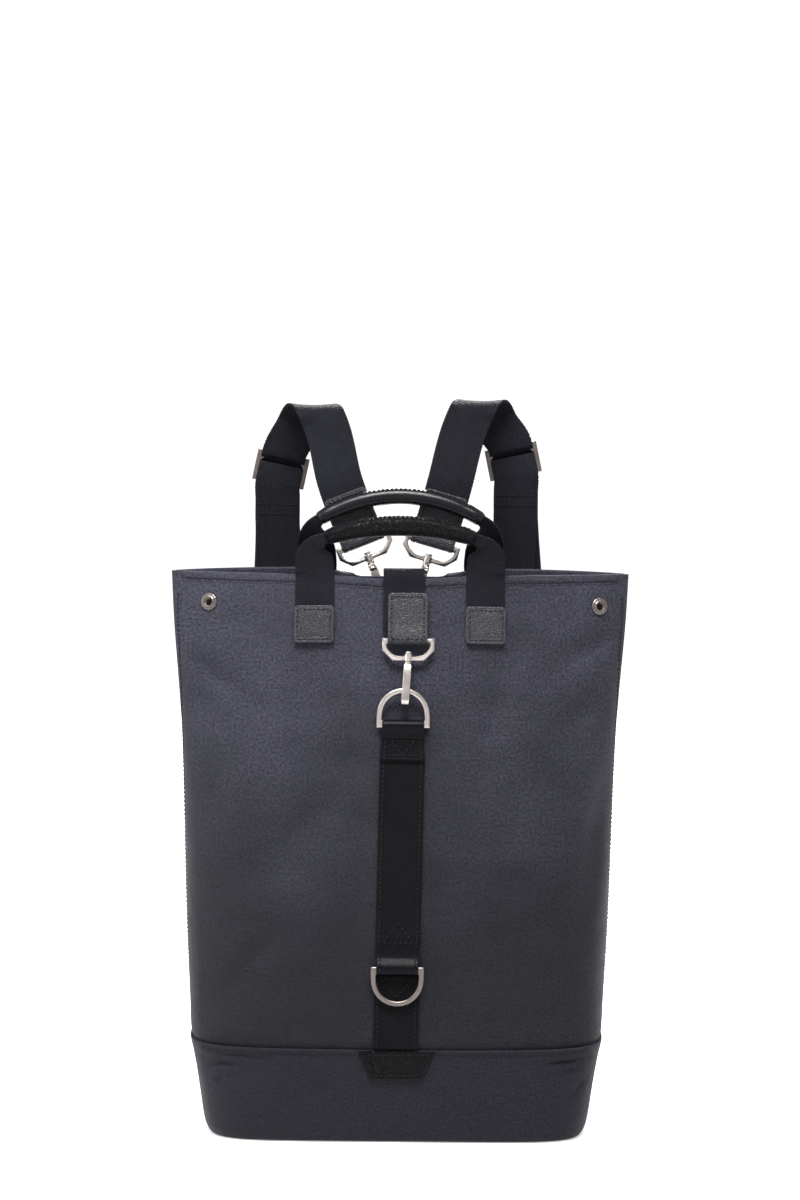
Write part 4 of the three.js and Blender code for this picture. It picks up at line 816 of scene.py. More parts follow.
class Thread:
    """Collects stitches, each a short rounded bead of thread, in one mesh."""

    def __init__(self):
        self.bm = bmesh.new()

    def sew(self, stitches):
        """Makes a few stitches in a mesh of their own and joins it to the rest. Each is given by
        its place, direction, surface normal and length."""
        half = setting("stitch").thickness / 2
        swap = Matrix.Rotation(math.pi / 2, 4, "Y")
        part = bmesh.new()
        for place, along, normal, length in stitches:
            side = along.cross(normal).normalized()
            up = side.cross(along).normalized()
            turn = Matrix((along * (length / 2), side * half, up * half)).transposed().to_4x4()
            turn.translation = place + up * (half * 0.45)
            bmesh.ops.create_uvsphere(part, u_segments=6, v_segments=4, radius=1.0,
                                      matrix=turn @ swap)
        mesh = bpy.data.meshes.new("stitches")
        part.to_mesh(mesh)
        part.free()
        self.bm.from_mesh(mesh)
        bpy.data.meshes.remove(mesh)

    def row(self, places, normals):
        """Stitches along a line of places with the surface's normals at them."""
        length = setting("stitch").length
        pitch = setting("stitch").pitch
        lengths = [0.0]
        for before, after in zip(places, places[1:]):
            lengths.append(lengths[-1] + (after - before).length)
        count = int(lengths[-1] // pitch)
        if count < 1:
            return
        step = lengths[-1] / count
        stitches = []
        for k in range(count):
            target = (k + 0.5) * step
            i = min(bisect_right(lengths, target), len(lengths) - 1) - 1
            share = (target - lengths[i]) / (lengths[i + 1] - lengths[i])
            along = (places[i + 1] - places[i]).normalized()
            normal = normals[i].lerp(normals[i + 1], share).normalized()
            stitches.append((places[i].lerp(places[i + 1], share), along, normal, length))
        self.sew(stitches)

    def on_band(self, band, corners, side=1):
        """Rows over a band's face between corners given as (s, u) pairs."""
        for (s0, u0), (s1, u1) in zip(corners, corners[1:]):
            parts = max(1, math.ceil(math.hypot(s1 - s0, u1 - u0) / (2.5 * MM)))
            row = [band.at(s0 + (s1 - s0) * k / parts, u0 + (u1 - u0) * k / parts, side)
                   for k in range(parts + 1)]
            self.row([place for place, _, _ in row], [normal for _, normal, _ in row])

    def on_surface(self, tree, corners, ray):
        """A row over a surface through corners in space, dropped on to it along a ray."""
        places = []
        normals = []
        for start, stop in zip(corners, corners[1:]):
            parts = max(1, math.ceil((stop - start).length / (3 * MM)))
            for k in range(parts + 1):
                hit, normal, _, _ = tree.ray_cast(start.lerp(stop, k / parts), ray, 1.0)
                if hit is None:
                    continue
                if normal.dot(ray) > 0:
                    normal = -normal
                places.append(hit)
                normals.append(normal)
        if len(places) > 1:
            self.row(places, normals)

    def finish(self, name):
        """Makes one piece of all the stitches sewn so far."""
        thing = piece(self.bm, name, "thread")


# The canvas shell

def footprints(side):
    """Level rectangles of what lies on a panel, which the cloth under it keeps flat for."""
    rows = []
    middle_band = 15 * MM
    for node in frame["nodes"]:
        if node in ("bag_body", "base_band") or node.startswith("shoulder_strap"):
            continue
        low, high = (Vector(corner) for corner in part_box(node))
        middle = (low.y + high.y) / 2
        if (middle < 0) == (side < 0) and abs(middle) > middle_band:
            rows.append((low.x, high.x, low.z, high.z))
    return rows


def smooth(share):
    """Eases a share from 0 to 1."""
    return share * share * (3 - 2 * share)


def openness(x, z, rows):
    """0 under what lies on a panel, rising to 1 a little way outside it."""
    reach = 16 * MM
    best = 1.0
    for x0, x1, z0, z1 in rows:
        away = math.hypot(max(x0 - x, 0, x - x1), max(z0 - z, 0, z - z1))
        best = min(best, smooth(min(away / reach, 1.0)))
    return best


# Soft creases of the front panel: where each starts and ends, its breadth and its depth, in
# shares of the bag's half width, its height, its height and the ripple depth.
CREASES = (
    ((-0.97, 0.865), (-0.62, 0.765), 0.022, 1.5),
    ((-0.95, 0.80), (-0.70, 0.70), 0.024, 1.2),
    ((-0.93, 0.735), (-0.76, 0.58), 0.022, 1.2),
    ((-0.84, 0.93), (-0.60, 0.89), 0.022, 0.9),
    ((0.97, 0.895), (0.64, 0.83), 0.022, 1.6),
    ((0.90, 0.80), (0.68, 0.71), 0.024, 1.3),
    ((0.93, 0.70), (0.80, 0.40), 0.026, 1.2),
    ((-0.72, 0.28), (-0.50, 0.38), 0.022, 1.1),
    ((-0.45, 0.90), (-0.38, 0.66), 0.026, 0.8),
    ((0.46, 0.88), (0.34, 0.60), 0.028, 0.8),
    ((0.26, 0.46), (0.60, 0.28), 0.030, 0.9),
    ((-0.26, 0.62), (-0.58, 0.48), 0.030, 0.8),
)


def crease_depth(x, z, half, height):
    """Depth of the creases at a place, in shares of the ripple depth."""
    total = 0.0
    for (x0, z0), (x1, z1), breadth, depth in CREASES:
        start = Vector((x0 * half, z0 * height))
        stop = Vector((x1 * half, z1 * height))
        line = stop - start
        here = Vector((x, z)) - start
        share = min(max(here.dot(line) / line.length_squared, 0.0), 1.0)
        away = (here - line * share).length / (breadth * height * 0.85)
        fade = math.sin(math.pi * min(max(share, 0.08), 0.92))
        total += depth * fade * math.exp(-away * away)
    return total


def rippled(bm, strength):
    """Moves both faces of the cloth together, inwards only, in soft hollows and creases."""
    depth = setting("cloth").ripple_depth * strength
    foot_low, foot_rise, side_ease = 4 * MM, 40 * MM, 18 * MM
    half = max(v.co.x for v in bm.verts)
    height = max(v.co.z for v in bm.verts)
    rows = {-1: footprints(-1), 1: footprints(1)}
    for vert in bm.verts:
        x, y, z = vert.co
        side = -1 if y < 0 else 1
        free = openness(x, z, rows[side])
        if free <= 0:
            continue
        broad = noise.noise(Vector((x * 8 + z * 3, z * 6 - x * 3, side * 4.3)))
        fine = noise.noise(Vector((x * 15 + z * 6, z * 12 - x * 5, side * 9.1)))
        hollow = 0.4 + 0.55 * broad + 0.25 * fine
        if side < 0:
            hollow += crease_depth(x, z, half, height)
        foot = min(max((z - foot_low) / foot_rise, 0.0), 1.0)
        edge = min(1.0, abs(y) / side_ease)
        vert.co.y -= side * max(hollow, 0.0) * depth * free * foot * edge


def canvas_cage(node):
    """The solid's faces as a coarse cage, which stays sharp at the rim and at the side seams."""
    bm = merged_copy(node)
    bmesh.ops.join_triangles(bm, faces=bm.faces, angle_face_threshold=math.pi,
                             angle_shape_threshold=math.pi)
    bm.normal_update()
    crease = bm.edges.layers.float.new("crease_edge")
    top = max(v.co.z for v in bm.verts)
    rim = rim_faces(bm)
    for edge in {e for f in rim for e in f.edges}:
        if not all(f in rim for f in edge.link_faces):
            edge[crease] = 1.0
    foot = {f for f in bm.faces if f.normal.z < -0.9 and f.calc_center_median().z < 1 * MM}
    for edge in {e for f in foot for e in f.edges}:
        if not all(f in foot for f in edge.link_faces):
            edge[crease] = 1.0
    rim_verts = {v for f in rim for v in f.verts}
    for hand in (-1, 1):
        start = max(rim_verts, key=lambda v: hand * v.co.x)
        across = min((v for v in rim_verts if v is not start),
                     key=lambda v: (v.co - start.co).length)
        for vert in (start, across):
            follow_seam(vert, crease, top)
    return bm


def follow_seam(vert, crease, top):
    """Creases the edges that run down one side of the bag from a place on its rim."""
    while vert.co.z > top * 0.4:
        steps = [e for e in vert.link_edges if e.other_vert(vert).co.z < vert.co.z - 3 * MM]
        if not steps:
            return
        edge = min(steps, key=lambda e: abs(e.other_vert(vert).co.y - vert.co.y))
        edge[crease] = smooth(min(max((vert.co.z / top - 0.4) / 0.4, 0.0), 1.0))
        vert = edge.other_vert(vert)


def rim_faces(bm):
    """The faces on top of the rim of a bag that is open upwards."""
    top = max(v.co.z for v in bm.verts)
    return {f for f in bm.faces if f.normal.z > 0.75 and f.calc_center_median().z > top * 0.8}


def rim_line(side):
    """Height of the rim over each x, from the outer edge of the canvas solid's rim."""
    bm = merged_copy("bag_body")
    bm.normal_update()
    found = {}
    for face in rim_faces(bm):
        for edge in face.edges:
            for vert in edge.verts:
                if (vert.co.y < 0) == (side < 0):
                    key = round(vert.co.x, 5)
                    found[key] = max(found.get(key, 0.0), vert.co.z)
    bm.free()
    return sorted(found.items())


class BACKPACK_OT_canvas(bpy.types.Operator):
    """Makes the canvas panels of the bag, with their creases, turned hem and side seams"""
    bl_idname = "backpack.canvas"
    bl_label = "Canvas panels"

    def execute(self, context):
        bm = subdivided(canvas_cage("bag_body"), 2)
        rippled(bm, 1.0)
        shell = piece(bm, "canvas_panels", slot_of("bag_body"), "bag_body")
        thread = Thread()
        surface = BVHTree.FromObject(shell, context.evaluated_depsgraph_get())
        for side in (-1, 1):
            hem(thread, surface, side)
        side_seams(thread, surface)
        thread.finish("panel_stitching")
        return {"FINISHED"}


# The hem's section: how far each place is below the rim and stands out of the cloth, in mm
HEM_SECTION = (
    (8.4, -0.5), (8.0, 0.15), (7.2, 0.45), (6.4, 0.35), (5.7, 0.05), (5.0, 0.45), (3.8, 0.85),
    (2.2, 1.0), (0.8, 0.85), (-0.1, 0.3), (-0.35, -0.6), (-0.3, -1.8), (0.6, -2.2), (5.0, -1.6),
)


def hem(thread, surface, side):
    """The rolled hem of one panel, a closed strip proud of the cloth, sewn along its groove."""
    drop = setting("cloth").hem_drop
    out = Vector((0, side, 0))
    rings = []
    places = []
    for x, z in rim_samples(side):
        hits = []
        for down, proud in HEM_SECTION:
            depth = max(down, 0.8) * MM
            hit = surface.ray_cast(Vector((x, side * AFAR, z - depth)), -out, 1.0)[0]
            if hit is not None:
                hits.append(Vector((x, hit.y, z - down * MM)) + out * (proud * MM))
        if len(hits) == len(HEM_SECTION):
            rings.append(hits)
            groove = surface.ray_cast(Vector((x, side * AFAR, z - drop)), -out, 1.0)[0]
            places.append(groove + out * (0.15 * MM))
    # Painted shade in the hem's stitch groove
    groove_shade = [-1.0 if abs(down * MM - drop) < 0.2 * MM else 0.0 for down, _ in HEM_SECTION]
    strip = swept(rings, wear=[groove_shade] * len(rings))
    piece(strip, "front_hem" if side < 0 else "rear_hem", "canvas")
    thread.row(places[1:-1], [out] * (len(places) - 2))


def rim_samples(side):
    """Places along the rim of one panel, a few millimetres apart."""
    line = rim_line(side)
    found = []
    for (x0, z0), (x1, z1) in zip(line, line[1:]):
        parts = max(1, math.ceil((x1 - x0) / (4 * MM)))
        found += [(x0 + (x1 - x0) * k / parts, z0 + (z1 - z0) * k / parts) for k in range(parts)]
    low, high = line[0][0] + 0.6 * MM, line[-1][0] - 0.6 * MM
    return [place for place in found if low < place[0] < high]


def side_seams(thread, surface):
    """A row of stitches on each side of the two upright seams."""
    low = 84 * MM
    high = 440 * MM
    aside = 3.2 * MM
    away = 0.4
    for hand in (-1, 1):
        for step in (-1, 1):
            corners = [Vector((hand * away, step * aside, low + (high - low) * k / 8))
                       for k in range(9)]
            thread.on_surface(surface, corners, Vector((-hand, 0, 0)))


class BACKPACK_OT_band(bpy.types.Operator):
    """Makes the darker canvas cup round the base, with a row of stitches along its upper edge"""
    bl_idname = "backpack.band"
    bl_label = "Base band"

    def execute(self, context):
        bm = subdivided(canvas_cage("base_band"), 2)
        rippled(bm, 0.55)
        cup = piece(bm, "base_band_cloth", slot_of("base_band"), "base_band")
        thread = Thread()
        surface = BVHTree.FromObject(cup, context.evaluated_depsgraph_get())
        top = Vector(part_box("base_band")[1]).z
        line = top - 3.4 * MM
        reach = 158 * MM
        for side in (-1, 1):
            corners = [Vector((-reach + 2 * reach * k / 24, side * AFAR, line)) for k in range(25)]
            thread.on_surface(surface, corners, Vector((0, -side, 0)))
        thread.finish("band_stitching")
        return {"FINISHED"}


# Webbing

class BandLook:
    """How one band of webbing is read, finished and sewn, and how far its edges are looped."""

    def __init__(self, node, first, outward, sewn=None, finish="dark_webbing", loops=0.3, satin=()):
        self.node = node
        self.first = first
        self.outward = outward
        self.sewn = sewn
        self.finish = finish
        self.loops = loops * MM
        self.satin = satin


def sew_edges(thread, band, low, high, side=1):
    """A row of stitches along each edge of a band, between two lengths."""
    inset = setting("webbing").edge_inset
    for hand in (-1, 1):
        corners = []
        count = max(1, math.ceil((high - low) / (12 * MM)))
        for k in range(count + 1):
            s = low + (high - low) * k / count
            corners.append((s, hand * (band.sample(s)[4] / 2 - inset)))
        thread.on_band(band, corners, side)


def sew_zigzag(thread, band, s, rows, side=1):
    """A bar of close slanting stitches across a band."""
    inset = setting("webbing").edge_inset
    half = band.sample(s)[4] / 2 - inset
    step, row_pitch, length, slant = 1.6 * MM, 2.4 * MM, 2.1 * MM, 0.35
    count = int(2 * half / step)
    stitches = []
    for row in range(rows):
        level = s + row * row_pitch
        for k in range(count):
            u = -half + (k + 0.5) * step
            place, normal, along = band.at(level, u, side)
            across = along.cross(normal)
            lean = (along + across * (slant if k % 2 else -slant)).normalized()
            stitches.append((place, lean, normal, length))
    thread.sew(stitches)


def sew_triangle(thread, band, base, tip, half, side=1):
    """A triangle of stitches with its base across a band."""
    corners = [(base, -half), (base, half), (tip, 0.0), (base, -half)]
    thread.on_band(band, corners, side)


def sew_box(thread, band, low, high, inset, side=1):
    """A rectangle of stitches across a band, between two lengths."""
    half = band.sample((low + high) / 2)[4] / 2 - inset
    corners = [(low, -half), (low, half), (high, half), (high, -half), (low, -half)]
    thread.on_band(band, corners, side)


def sew_front_strip(thread, band):
    """Edges, bars and triangles of the front strip. Its first fold holds the upper ring."""
    bar = Vector(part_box("upper_ring")[0]).z + 1 * MM
    turn = next(s for s in band.steps(1 * MM) if band.sample(s)[0].z > bar)
    turned = [s for s in band.steps(1 * MM) if band.sample(s)[3].dot(FRONT) < 0]
    back, foot = min(turned), max(turned)
    sew_edges(thread, band, 1 * MM, turn - 6 * MM)
    sew_zigzag(thread, band, turn - 9 * MM, 1)
    sew_zigzag(thread, band, 2 * MM, 2)
    sew_triangle(thread, band, turn - 12.5 * MM, turn - 24 * MM, 9.5 * MM)
    sew_edges(thread, band, back + 6 * MM, foot - 4 * MM, -1)
    sew_triangle(thread, band, foot - 28 * MM, foot - 44 * MM, 12.5 * MM, -1)


def sew_lower_strip(thread, band):
    sew_edges(thread, band, 1 * MM, band.length - 1 * MM)
    sew_triangle(thread, band, band.length - 2.5 * MM, band.length - 18.5 * MM, 12.3 * MM)


def sew_keeper(thread, band):
    sew_box(thread, band, 3 * MM, 18 * MM, setting("webbing").edge_inset)
    sew_zigzag(thread, band, 22 * MM, 2)


def sew_ring_tab(thread, band):
    sew_box(thread, band, 3 * MM, 22 * MM, setting("webbing").edge_inset)
    sew_zigzag(thread, band, 25 * MM, 1)


def sew_shoulder(thread, band):
    """Two rows across each layer of the webbing where its end is sewn back below the slider."""
    slider = min(Vector(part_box(node)[0]).z for node in ("slider_left", "slider_right")
                 if (Vector(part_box(node)[0]).x < 0) == (band.centres[0].x < 0))
    stops = [k * MM for k in range(int(band.length / MM))]
    places = [band.sample(s)[0] for s in stops]
    half = band.sample(stops[0])[4] / 2 - 1.2 * MM
    behind = 40 * MM
    for level in (slider - 11 * MM, slider - 19 * MM):
        for s, before, after in zip(stops, places, places[1:]):
            if (before.z - level) * (after.z - level) <= 0 and before.y > behind:
                for side in (-1, 1):
                    thread.on_band(band, [(s, -half), (s, half)], side)


BAND_LOOKS = (
    BandLook("front_strip", (0, 0, 1), FRONT, sew_front_strip, "deep_webbing", 0.25,
             (("upper_ring", 9), ("lower_ring", 9))),
    BandLook("lower_strip", (0, 0, -1), FRONT, sew_lower_strip, "deep_webbing", 0.25),
    BandLook("closure_strap", (0, 1, 0), REAR),
    BandLook("front_handle_webbing", (-1, 0, 0), FRONT),
    BandLook("rear_handle_webbing", (-1, 0, 0), REAR),
    BandLook("rear_ring_keeper", (0, 1, 0), REAR, sew_keeper),
    BandLook("strap_ring_tab_left", (0, 1, 0), REAR, sew_ring_tab),
    BandLook("strap_ring_tab_right", (0, 1, 0), REAR, sew_ring_tab),
    BandLook("shoulder_strap_left", (0, -1, 1), REAR, sew_shoulder, loops=0.65),
    BandLook("shoulder_strap_right", (0, -1, 1), REAR, sew_shoulder, loops=0.65),
)


def satin_near(band, rolls):
    """Wear of a band that is drawn tight and smooth where it rolls round a ring's straight bar."""
    spots = []
    for node, reach in rolls:
        low, high = (Vector(corner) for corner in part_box(node))
        bar = low.z if node == "upper_ring" else high.z
        spots.append((Vector(((low.x + high.x) / 2, (low.y + high.y) / 2, bar)), reach * MM))

    def worn(s, u, width):
        place = band.sample(s)[0]
        near = 0.0
        for spot, reach in spots:
            away = math.hypot(place.y - spot.y, place.z - spot.z) / reach
            near = max(near, 1 - min(max(away - 0.6, 0.0) / 0.4, 1.0))
        return near
    return worn


class BACKPACK_OT_webbing(bpy.types.Operator):
    """Makes every strap, strip and handle leg of woven webbing, with its bars of stitches"""
    bl_idname = "backpack.webbing"
    bl_label = "Webbing"

    def execute(self, context):
        thread = Thread()
        for look in BAND_LOOKS:
            band = Band(look.node, look.first, look.outward)
            worn = satin_near(band, look.satin) if look.satin else None
            bm = band_mesh(band, 0.8 * MM, 8, 0.75 * MM, waver=look.loops, worn=worn)
            piece(bm, look.node + "_woven", slot_of(look.node), look.node, finish=look.finish)
            if look.sewn:
                look.sewn(thread, band)
        thread.finish("webbing_stitching")
        return {"FINISHED"}


# Leather

def edge_gap(s, u, width, length, corner):
    """Distance of a place on a band from the band's nearest edge, round its corners."""
    side = width / 2 - abs(u)
    end = min(s, length - s)
    if side < corner and end < corner:
        return corner - math.hypot(corner - side, corner - end)
    return min(side, end)


# How far a piped edge and the full middle of a stitched piece stand out
PIPE_RISE = 0.35 * MM
FULL_RISE = 0.3 * MM


def pulled(band, inset, corner):
    """Relief of stitched leather: a piped edge, a groove under the thread and a full middle."""
    groove = setting("leather").groove

    def relief(s, u, width):
        away = edge_gap(s, u, width, band.length, corner)
        dip = math.exp(-((away - inset) / (0.95 * MM)) ** 2)
        pipe = math.exp(-((away - 1.1 * MM) / (0.7 * MM)) ** 2)
        full = min(max((away - inset) / (4 * MM), 0.0), 1.0)
        return PIPE_RISE * pipe - groove * dip + FULL_RISE * smooth(full)
    return relief


def leather_painted_light(band, inset, corner):
    """A painted highlight along the piped edge and painted shade in the groove under the thread."""
    def worn(s, u, width):
        away = edge_gap(s, u, width, band.length, corner)
        # Painted highlight where the rounded pipe catches the light; painted shade in the stitch
        # groove
        edge_highlight = math.exp(-((away - 0.9 * MM) / (0.6 * MM)) ** 2)
        hollow = math.exp(-((away - inset) / (0.8 * MM)) ** 2)
        return 0.9 * edge_highlight - 0.8 * hollow
    return worn


def leather_band(node, first, outward, name):
    """Makes one stitched piece of leather and gives back its band."""
    band = Band(node, first, outward)
    inset = setting("leather").stitch_inset
    corner = setting("leather").corner
    bm = band_mesh(band, 0.9 * MM, 44, 0.5 * MM, corner=corner, relief=pulled(band, inset, corner),
                   worn=leather_painted_light(band, inset, corner))
    piece(bm, name, slot_of(node), node)
    return band


class BACKPACK_OT_patches(bpy.types.Operator):
    """Makes the stitched leather patches, the closure tab, the shoulder tabs and the bare label"""
    bl_idname = "backpack.patches"
    bl_label = "Leather tabs and patches"

    def execute(self, context):
        thread = Thread()
        inset = setting("leather").stitch_inset
        closure_sewn, strap_sewn = 38 * MM, 36 * MM
        for side, outward in (("front", FRONT), ("rear", REAR)):
            for hand in ("left", "right"):
                node = f"{side}_handle_patch_{hand}"
                band = leather_band(node, (0, 0, 1), outward, node + "_leather")
                sew_box(thread, band, inset, band.length - inset, inset)
        closure = leather_band("closure_tab", (0, -1, 1), FRONT, "closure_tab_leather")
        sew_box(thread, closure, inset, closure_sewn, inset)
        for hand in ("left", "right"):
            tab = leather_band(f"strap_tab_{hand}", (0, 1, 1), REAR, f"strap_tab_{hand}_leather")
            sew_box(thread, tab, inset, strap_sewn, inset)
            end = tab.length
            sew_box(thread, tab, end - strap_sewn, end - inset, inset)
        label_leather(context, thread)
        thread.finish("leather_stitching")
        return {"FINISHED"}


def sharp_edges(bm, degrees):
    """The edges between two faces that meet at more than an angle."""
    limit = math.radians(degrees)
    return [e for e in bm.edges if len(e.link_faces) == 2 and e.calc_face_angle(0) > limit]


def label_leather(context, thread):
    """The bare label: its flat solid with softened edges, sewn along its slanting sides."""
    node = "label_patch"
    bm = merged_copy(node)
    bmesh.ops.dissolve_limit(bm, angle_limit=math.radians(2), verts=bm.verts, edges=bm.edges)
    bmesh.ops.bevel(bm, geom=sharp_edges(bm, 60), offset=0.4 * MM, offset_type="OFFSET",
                    segments=2, profile=0.5, affect="EDGES", material=-1)
    label = piece(bm, "label_leather", slot_of(node), node, smooth=False, finish="black_leather")
    surface = BVHTree.FromObject(label, context.evaluated_depsgraph_get())
    low, high = (Vector(corner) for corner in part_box(node))
    inset = setting("leather").stitch_inset
    lean = 10.1 * MM
    top = high.z - inset
    foot = low.z + inset
    away = low.y - 50 * MM
    left, right = low.x + inset + 1 * MM, high.x - inset - 1 * MM
    outline = ((left, top), (low.x + lean + inset, foot), (high.x - lean - inset, foot),
               (right, top), (left, top))
    corners = [Vector((x, away, z)) for x, z in outline]
    for start, stop in zip(corners, corners[1:]):
        thread.on_surface(surface, [start, stop], REAR)


class GripLook:
    """Half heights of a grip, in the middle and at its ends, its half depth, the angle and
    height of its welt, how many degrees below the welt it is sewn, and its finish."""

    def __init__(self, side, tall, slim, deep, welt_angle, welt, sewn_below, finish):
        self.side = side
        self.tall = tall
        self.slim = slim
        self.deep = deep
        self.welt_angle = welt_angle
        self.welt = welt
        self.sewn_below = sewn_below
        self.finish = finish


GRIP_LOOKS = (
    GripLook("front", 8.0 * MM, 6.0 * MM, 6.2 * MM, 118, 0.9 * MM, 42, "black_leather"),
    GripLook("rear", 6.4 * MM, 5.6 * MM, 5.6 * MM, 100, 0.7 * MM, 32, "grip_leather"),
)


class BACKPACK_OT_grips(bpy.types.Operator):
    """Makes the two padded leather grips round the folded handle webbing"""
    bl_idname = "backpack.grips"
    bl_label = "Handle grips"

    def execute(self, context):
        thread = Thread()
        for look in GRIP_LOOKS:
            node = f"{look.side}_handle_grip"
            outward = FRONT if look.side == "front" else REAR
            band = Band(f"{look.side}_handle_webbing", (-1, 0, 0), outward)
            low, high = (Vector(corner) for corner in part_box(node))
            left, right = low.x + 1.2 * MM, high.x - 1.2 * MM
            inside = [s for s in band.steps(1 * MM) if left < band.sample(s)[0].x < right]
            bm = grip_mesh(band, look, min(inside), max(inside))
            grip = piece(bm, node + "_leather", slot_of(node), node, finish=look.finish)
            sew_grip(thread, band, look, min(inside), max(inside))
        thread.finish("grip_stitching")
        return {"FINISHED"}


def upward_of(along):
    """The upward direction square to a handle's run."""
    upward = Vector((-along.z, 0, along.x)).normalized()
    return -upward if upward.z < 0 else upward


def grip_point(band, look, s, share, angle, scale):
    """A place on a grip's skin at an angle from the front, over a share of its length."""
    centre, _, along, _, _, _ = band.sample(s)
    upward = upward_of(along)
    swell = max(math.sin(math.pi * share), 0.0) ** 0.8
    high = (look.slim + (look.tall - look.slim) * swell) * scale
    deep = look.deep * scale
    turn = math.radians(angle)
    apart = (angle - look.welt_angle + 180) % 360 - 180
    ridge = look.welt * math.exp(-(apart / 7.0) ** 2) * min(1.0, share * 18, (1 - share) * 18)
    pucker = 0.22 * MM * math.sin(s * 2 * math.pi / (9 * MM)) * math.exp(-(apart / 30.0) ** 2)
    direction = FRONT * math.cos(turn) + upward * math.sin(turn)
    base = FRONT * (math.cos(turn) * deep) + upward * (math.sin(turn) * high)
    return centre + base + direction * (ridge + pucker * scale), direction


def grip_mesh(band, look, low, high):
    """A grip's skin from end to end, and back through the bore that holds the webbing."""
    room, corner = 0.35 * MM, 1.25
    sides = 48
    angles = [360 * k / sides for k in range(sides)]
    count = 60
    rings = []
    folded = [(0.0, 0.80), (0.004, 0.93), (0.012, 0.985)]
    shares = folded + [(0.03 + 0.94 * k / count, 1.0) for k in range(count + 1)]
    shares += [(1 - share, scale) for share, scale in reversed(folded)]
    for share, scale in shares:
        s = low + (high - low) * share
        rings.append([grip_point(band, look, s, share, angle, scale)[0] for angle in angles])
    for share in (0.985, 0.9, 0.7, 0.5, 0.3, 0.1, 0.015):
        s = low + (high - low) * share
        centre, _, along, _, width, gauge = band.sample(s)
        upward = upward_of(along)
        deep = (gauge / 2 + room) * corner
        tall = (width / 2 + room) * corner
        ring = []
        for angle in angles:
            turn = math.radians(angle)
            ring.append(centre + FRONT * (math.cos(turn) * deep) + upward * (math.sin(turn) * tall))
        rings.append(ring)
    return swept(rings, looped=True)


def sew_grip(thread, band, look, low, high):
    """A row of stitches along the front of the grip's welt."""
    places = []
    normals = []
    for k in range(61):
        share = 0.04 + 0.92 * k / 60
        s = low + (high - low) * share
        angle = look.welt_angle - look.sewn_below
        place, normal = grip_point(band, look, s, share, angle, 1.0)
        places.append(place)
        normals.append(normal)
    thread.row(places, normals)


# Metal

# Fittings of the bright plating that have darkened
DULLED = ("lower_ring", "strap_ring_left", "strap_ring_right", "snap_left", "snap_right")


class BACKPACK_OT_metal(bpy.types.Operator):
    """Rounds the edges of the rings, frames, hooks, sliders and studs and finishes them"""
    bl_idname = "backpack.metal"
    bl_label = "Metal fittings"

    def execute(self, context):
        for node in frame["nodes"]:
            slot = slot_of(node)
            if slot in ("aged_nickel", "dark_nickel"):
                small = node.startswith("snap")
                bm = rounded_fitting(node, setting("metal").edge_radius * (0.4 if small else 1.0))
                if small:
                    # Painted shade in the stud's hole
                    shade_hole(bm, node)
                finish = "dark_nickel" if node in DULLED else slot
                fitting = piece(bm, node + "_fitting", slot, node, not small, finish)
                if not small:
                    finer = fitting.modifiers.new("Soft form", "SUBSURF")
                    finer.levels = 1
                    finer.render_levels = 1
        return {"FINISHED"}


def rounded_fitting(node, radius):
    """A fitting's solid with its sharp edges rounded, and wear and a painted highlight marked along
    them.
    """
    bm = merged_copy(node)
    layer = bm.verts.layers.float.new("worn")
    bmesh.ops.join_triangles(bm, faces=bm.faces, angle_face_threshold=math.radians(4),
                             angle_shape_threshold=math.pi)
    made = bmesh.ops.bevel(bm, geom=sharp_edges(bm, 38), offset=radius, offset_type="OFFSET",
                           segments=2, profile=0.5, affect="EDGES", clamp_overlap=True, material=-1)
    # Worn plating and a painted highlight along the rounded edges
    for vert in made["verts"]:
        vert[layer] = 1.0
    return bm


def shade_hole(bm, node):
    """Marks the hollow middle of a stud for painted shade."""
    layer = bm.verts.layers.float["worn"]
    low, high = (Vector(corner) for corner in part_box(node))
    middle = (low + high) / 2
    reach = 0.22 * (high.z - low.z)
    for vert in bm.verts:
        if math.hypot(vert.co.x - middle.x, vert.co.z - middle.z) < reach:
            vert[layer] = -1.0


# Studio

# The soft lights: name, place, width and height in metres, and power in watts
LIGHTS = (
    ("overhead", (-0.1, -1.0, 2.2), (1.3, 0.6), 175),
    ("left_box", (-2.0, -0.9, 1.2), (0.5, 1.2), 28),
    ("right_box", (2.1, -0.7, 0.9), (0.35, 1.2), 3),
    ("rear_box", (0.2, 1.8, 1.6), (1.2, 0.6), 75),
)
LIT_PLACE = (0, 0, 0.27)


def area_light(name, place, size, power):
    """A soft light that is aimed at the middle of the bag."""
    light = bpy.data.lights.new(name, "AREA")
    light.shape = "RECTANGLE"
    light.size, light.size_y = size
    light.energy = power
    lamp = bpy.data.objects.new(name, light)
    lamp.location = place
    aim = Vector(LIT_PLACE) - Vector(place)
    lamp.rotation_euler = aim.to_track_quat("-Z", "Y").to_euler()
    bpy.context.scene.collection.objects.link(lamp)


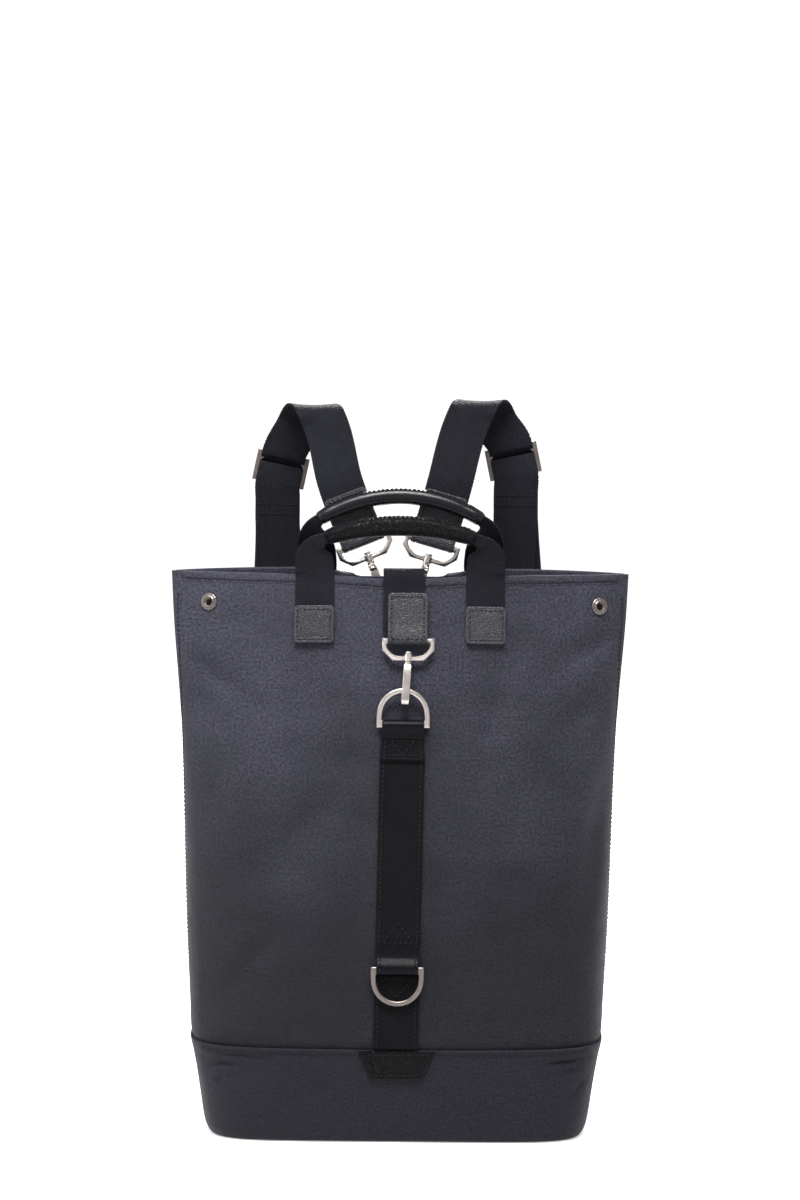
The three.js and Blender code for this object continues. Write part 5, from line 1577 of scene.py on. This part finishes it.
class BACKPACK_OT_stage(bpy.types.Operator):
    """Sets the pale floor, the soft lights and the camera"""
    bl_idname = "backpack.stage"
    bl_label = "Stage"

    def execute(self, context):
        scene = context.scene
        studio = setting("studio")
        bm = bmesh.new()
        bmesh.ops.create_grid(bm, x_segments=2, y_segments=2, size=30.0)
        mesh = bpy.data.meshes.new("studio_floor")
        bm.to_mesh(mesh)
        bm.free()
        mesh.materials.append(floor_material())
        floor = bpy.data.objects.new("studio_floor", mesh)
        scene.collection.objects.link(floor)
        camera = bpy.data.cameras.new("camera")
        camera.sensor_fit = "VERTICAL"
        camera.sensor_height = 36
        camera.lens = studio.focal_length
        eye = bpy.data.objects.new("camera", camera)
        eye.location = studio.camera_place
        level = Euler((math.pi / 2 - studio.camera_pitch, 0, 0)).to_matrix()
        eye.rotation_euler = (level @ Matrix.Rotation(studio.camera_roll, 3, "Z")).to_euler()
        scene.collection.objects.link(eye)
        scene.camera = eye
        world = bpy.data.worlds.new("studio")
        world.use_nodes = True
        backdrop = world.node_tree.nodes["Background"]
        backdrop.inputs["Color"].default_value = (1, 1, 1, 1)
        backdrop.inputs["Strength"].default_value = studio.sky
        scene.world = world
        for light in LIGHTS:
            area_light(*light)
        scene.view_settings.view_transform = "Standard"
        scene.view_settings.look = "None"
        return {"FINISHED"}


class BACKPACK_PT_finishes(bpy.types.Panel):
    """Lists the backpack's pieces"""
    bl_idname = "BACKPACK_PT_finishes"
    bl_label = "Backpack"
    bl_space_type = "VIEW_3D"
    bl_region_type = "UI"
    bl_category = "Backpack"

    def draw(self, context):
        for step in STEPS:
            self.layout.operator(step.bl_idname)
        for group in GROUPS:
            box = self.layout.box()
            box.label(text=group.capitalize())
            for name in GROUPS[group].__annotations__:
                box.prop(setting(group), name)


STEPS = (
    BACKPACK_OT_stage,
    BACKPACK_OT_canvas,
    BACKPACK_OT_band,
    BACKPACK_OT_webbing,
    BACKPACK_OT_patches,
    BACKPACK_OT_grips,
    BACKPACK_OT_metal,
)


def register():
    for group in GROUPS.values():
        bpy.utils.register_class(group)
    for step in STEPS:
        bpy.utils.register_class(step)
    bpy.utils.register_class(BACKPACK_PT_finishes)
    for name, group in GROUPS.items():
        setattr(bpy.types.Scene, "backpack_" + name, bpy.props.PointerProperty(type=group))


def unregister():
    for name in GROUPS:
        delattr(bpy.types.Scene, "backpack_" + name)
    bpy.utils.unregister_class(BACKPACK_PT_finishes)
    for step in reversed(STEPS):
        bpy.utils.unregister_class(step)
    for group in reversed(GROUPS.values()):
        bpy.utils.unregister_class(group)


def main():
    register()
    bpy.ops.backpack.stage()
    bpy.ops.backpack.canvas()
    bpy.ops.backpack.band()
    bpy.ops.backpack.webbing()
    bpy.ops.backpack.patches()
    bpy.ops.backpack.grips()
    bpy.ops.backpack.metal()


if __name__ == "__main__":
    main()
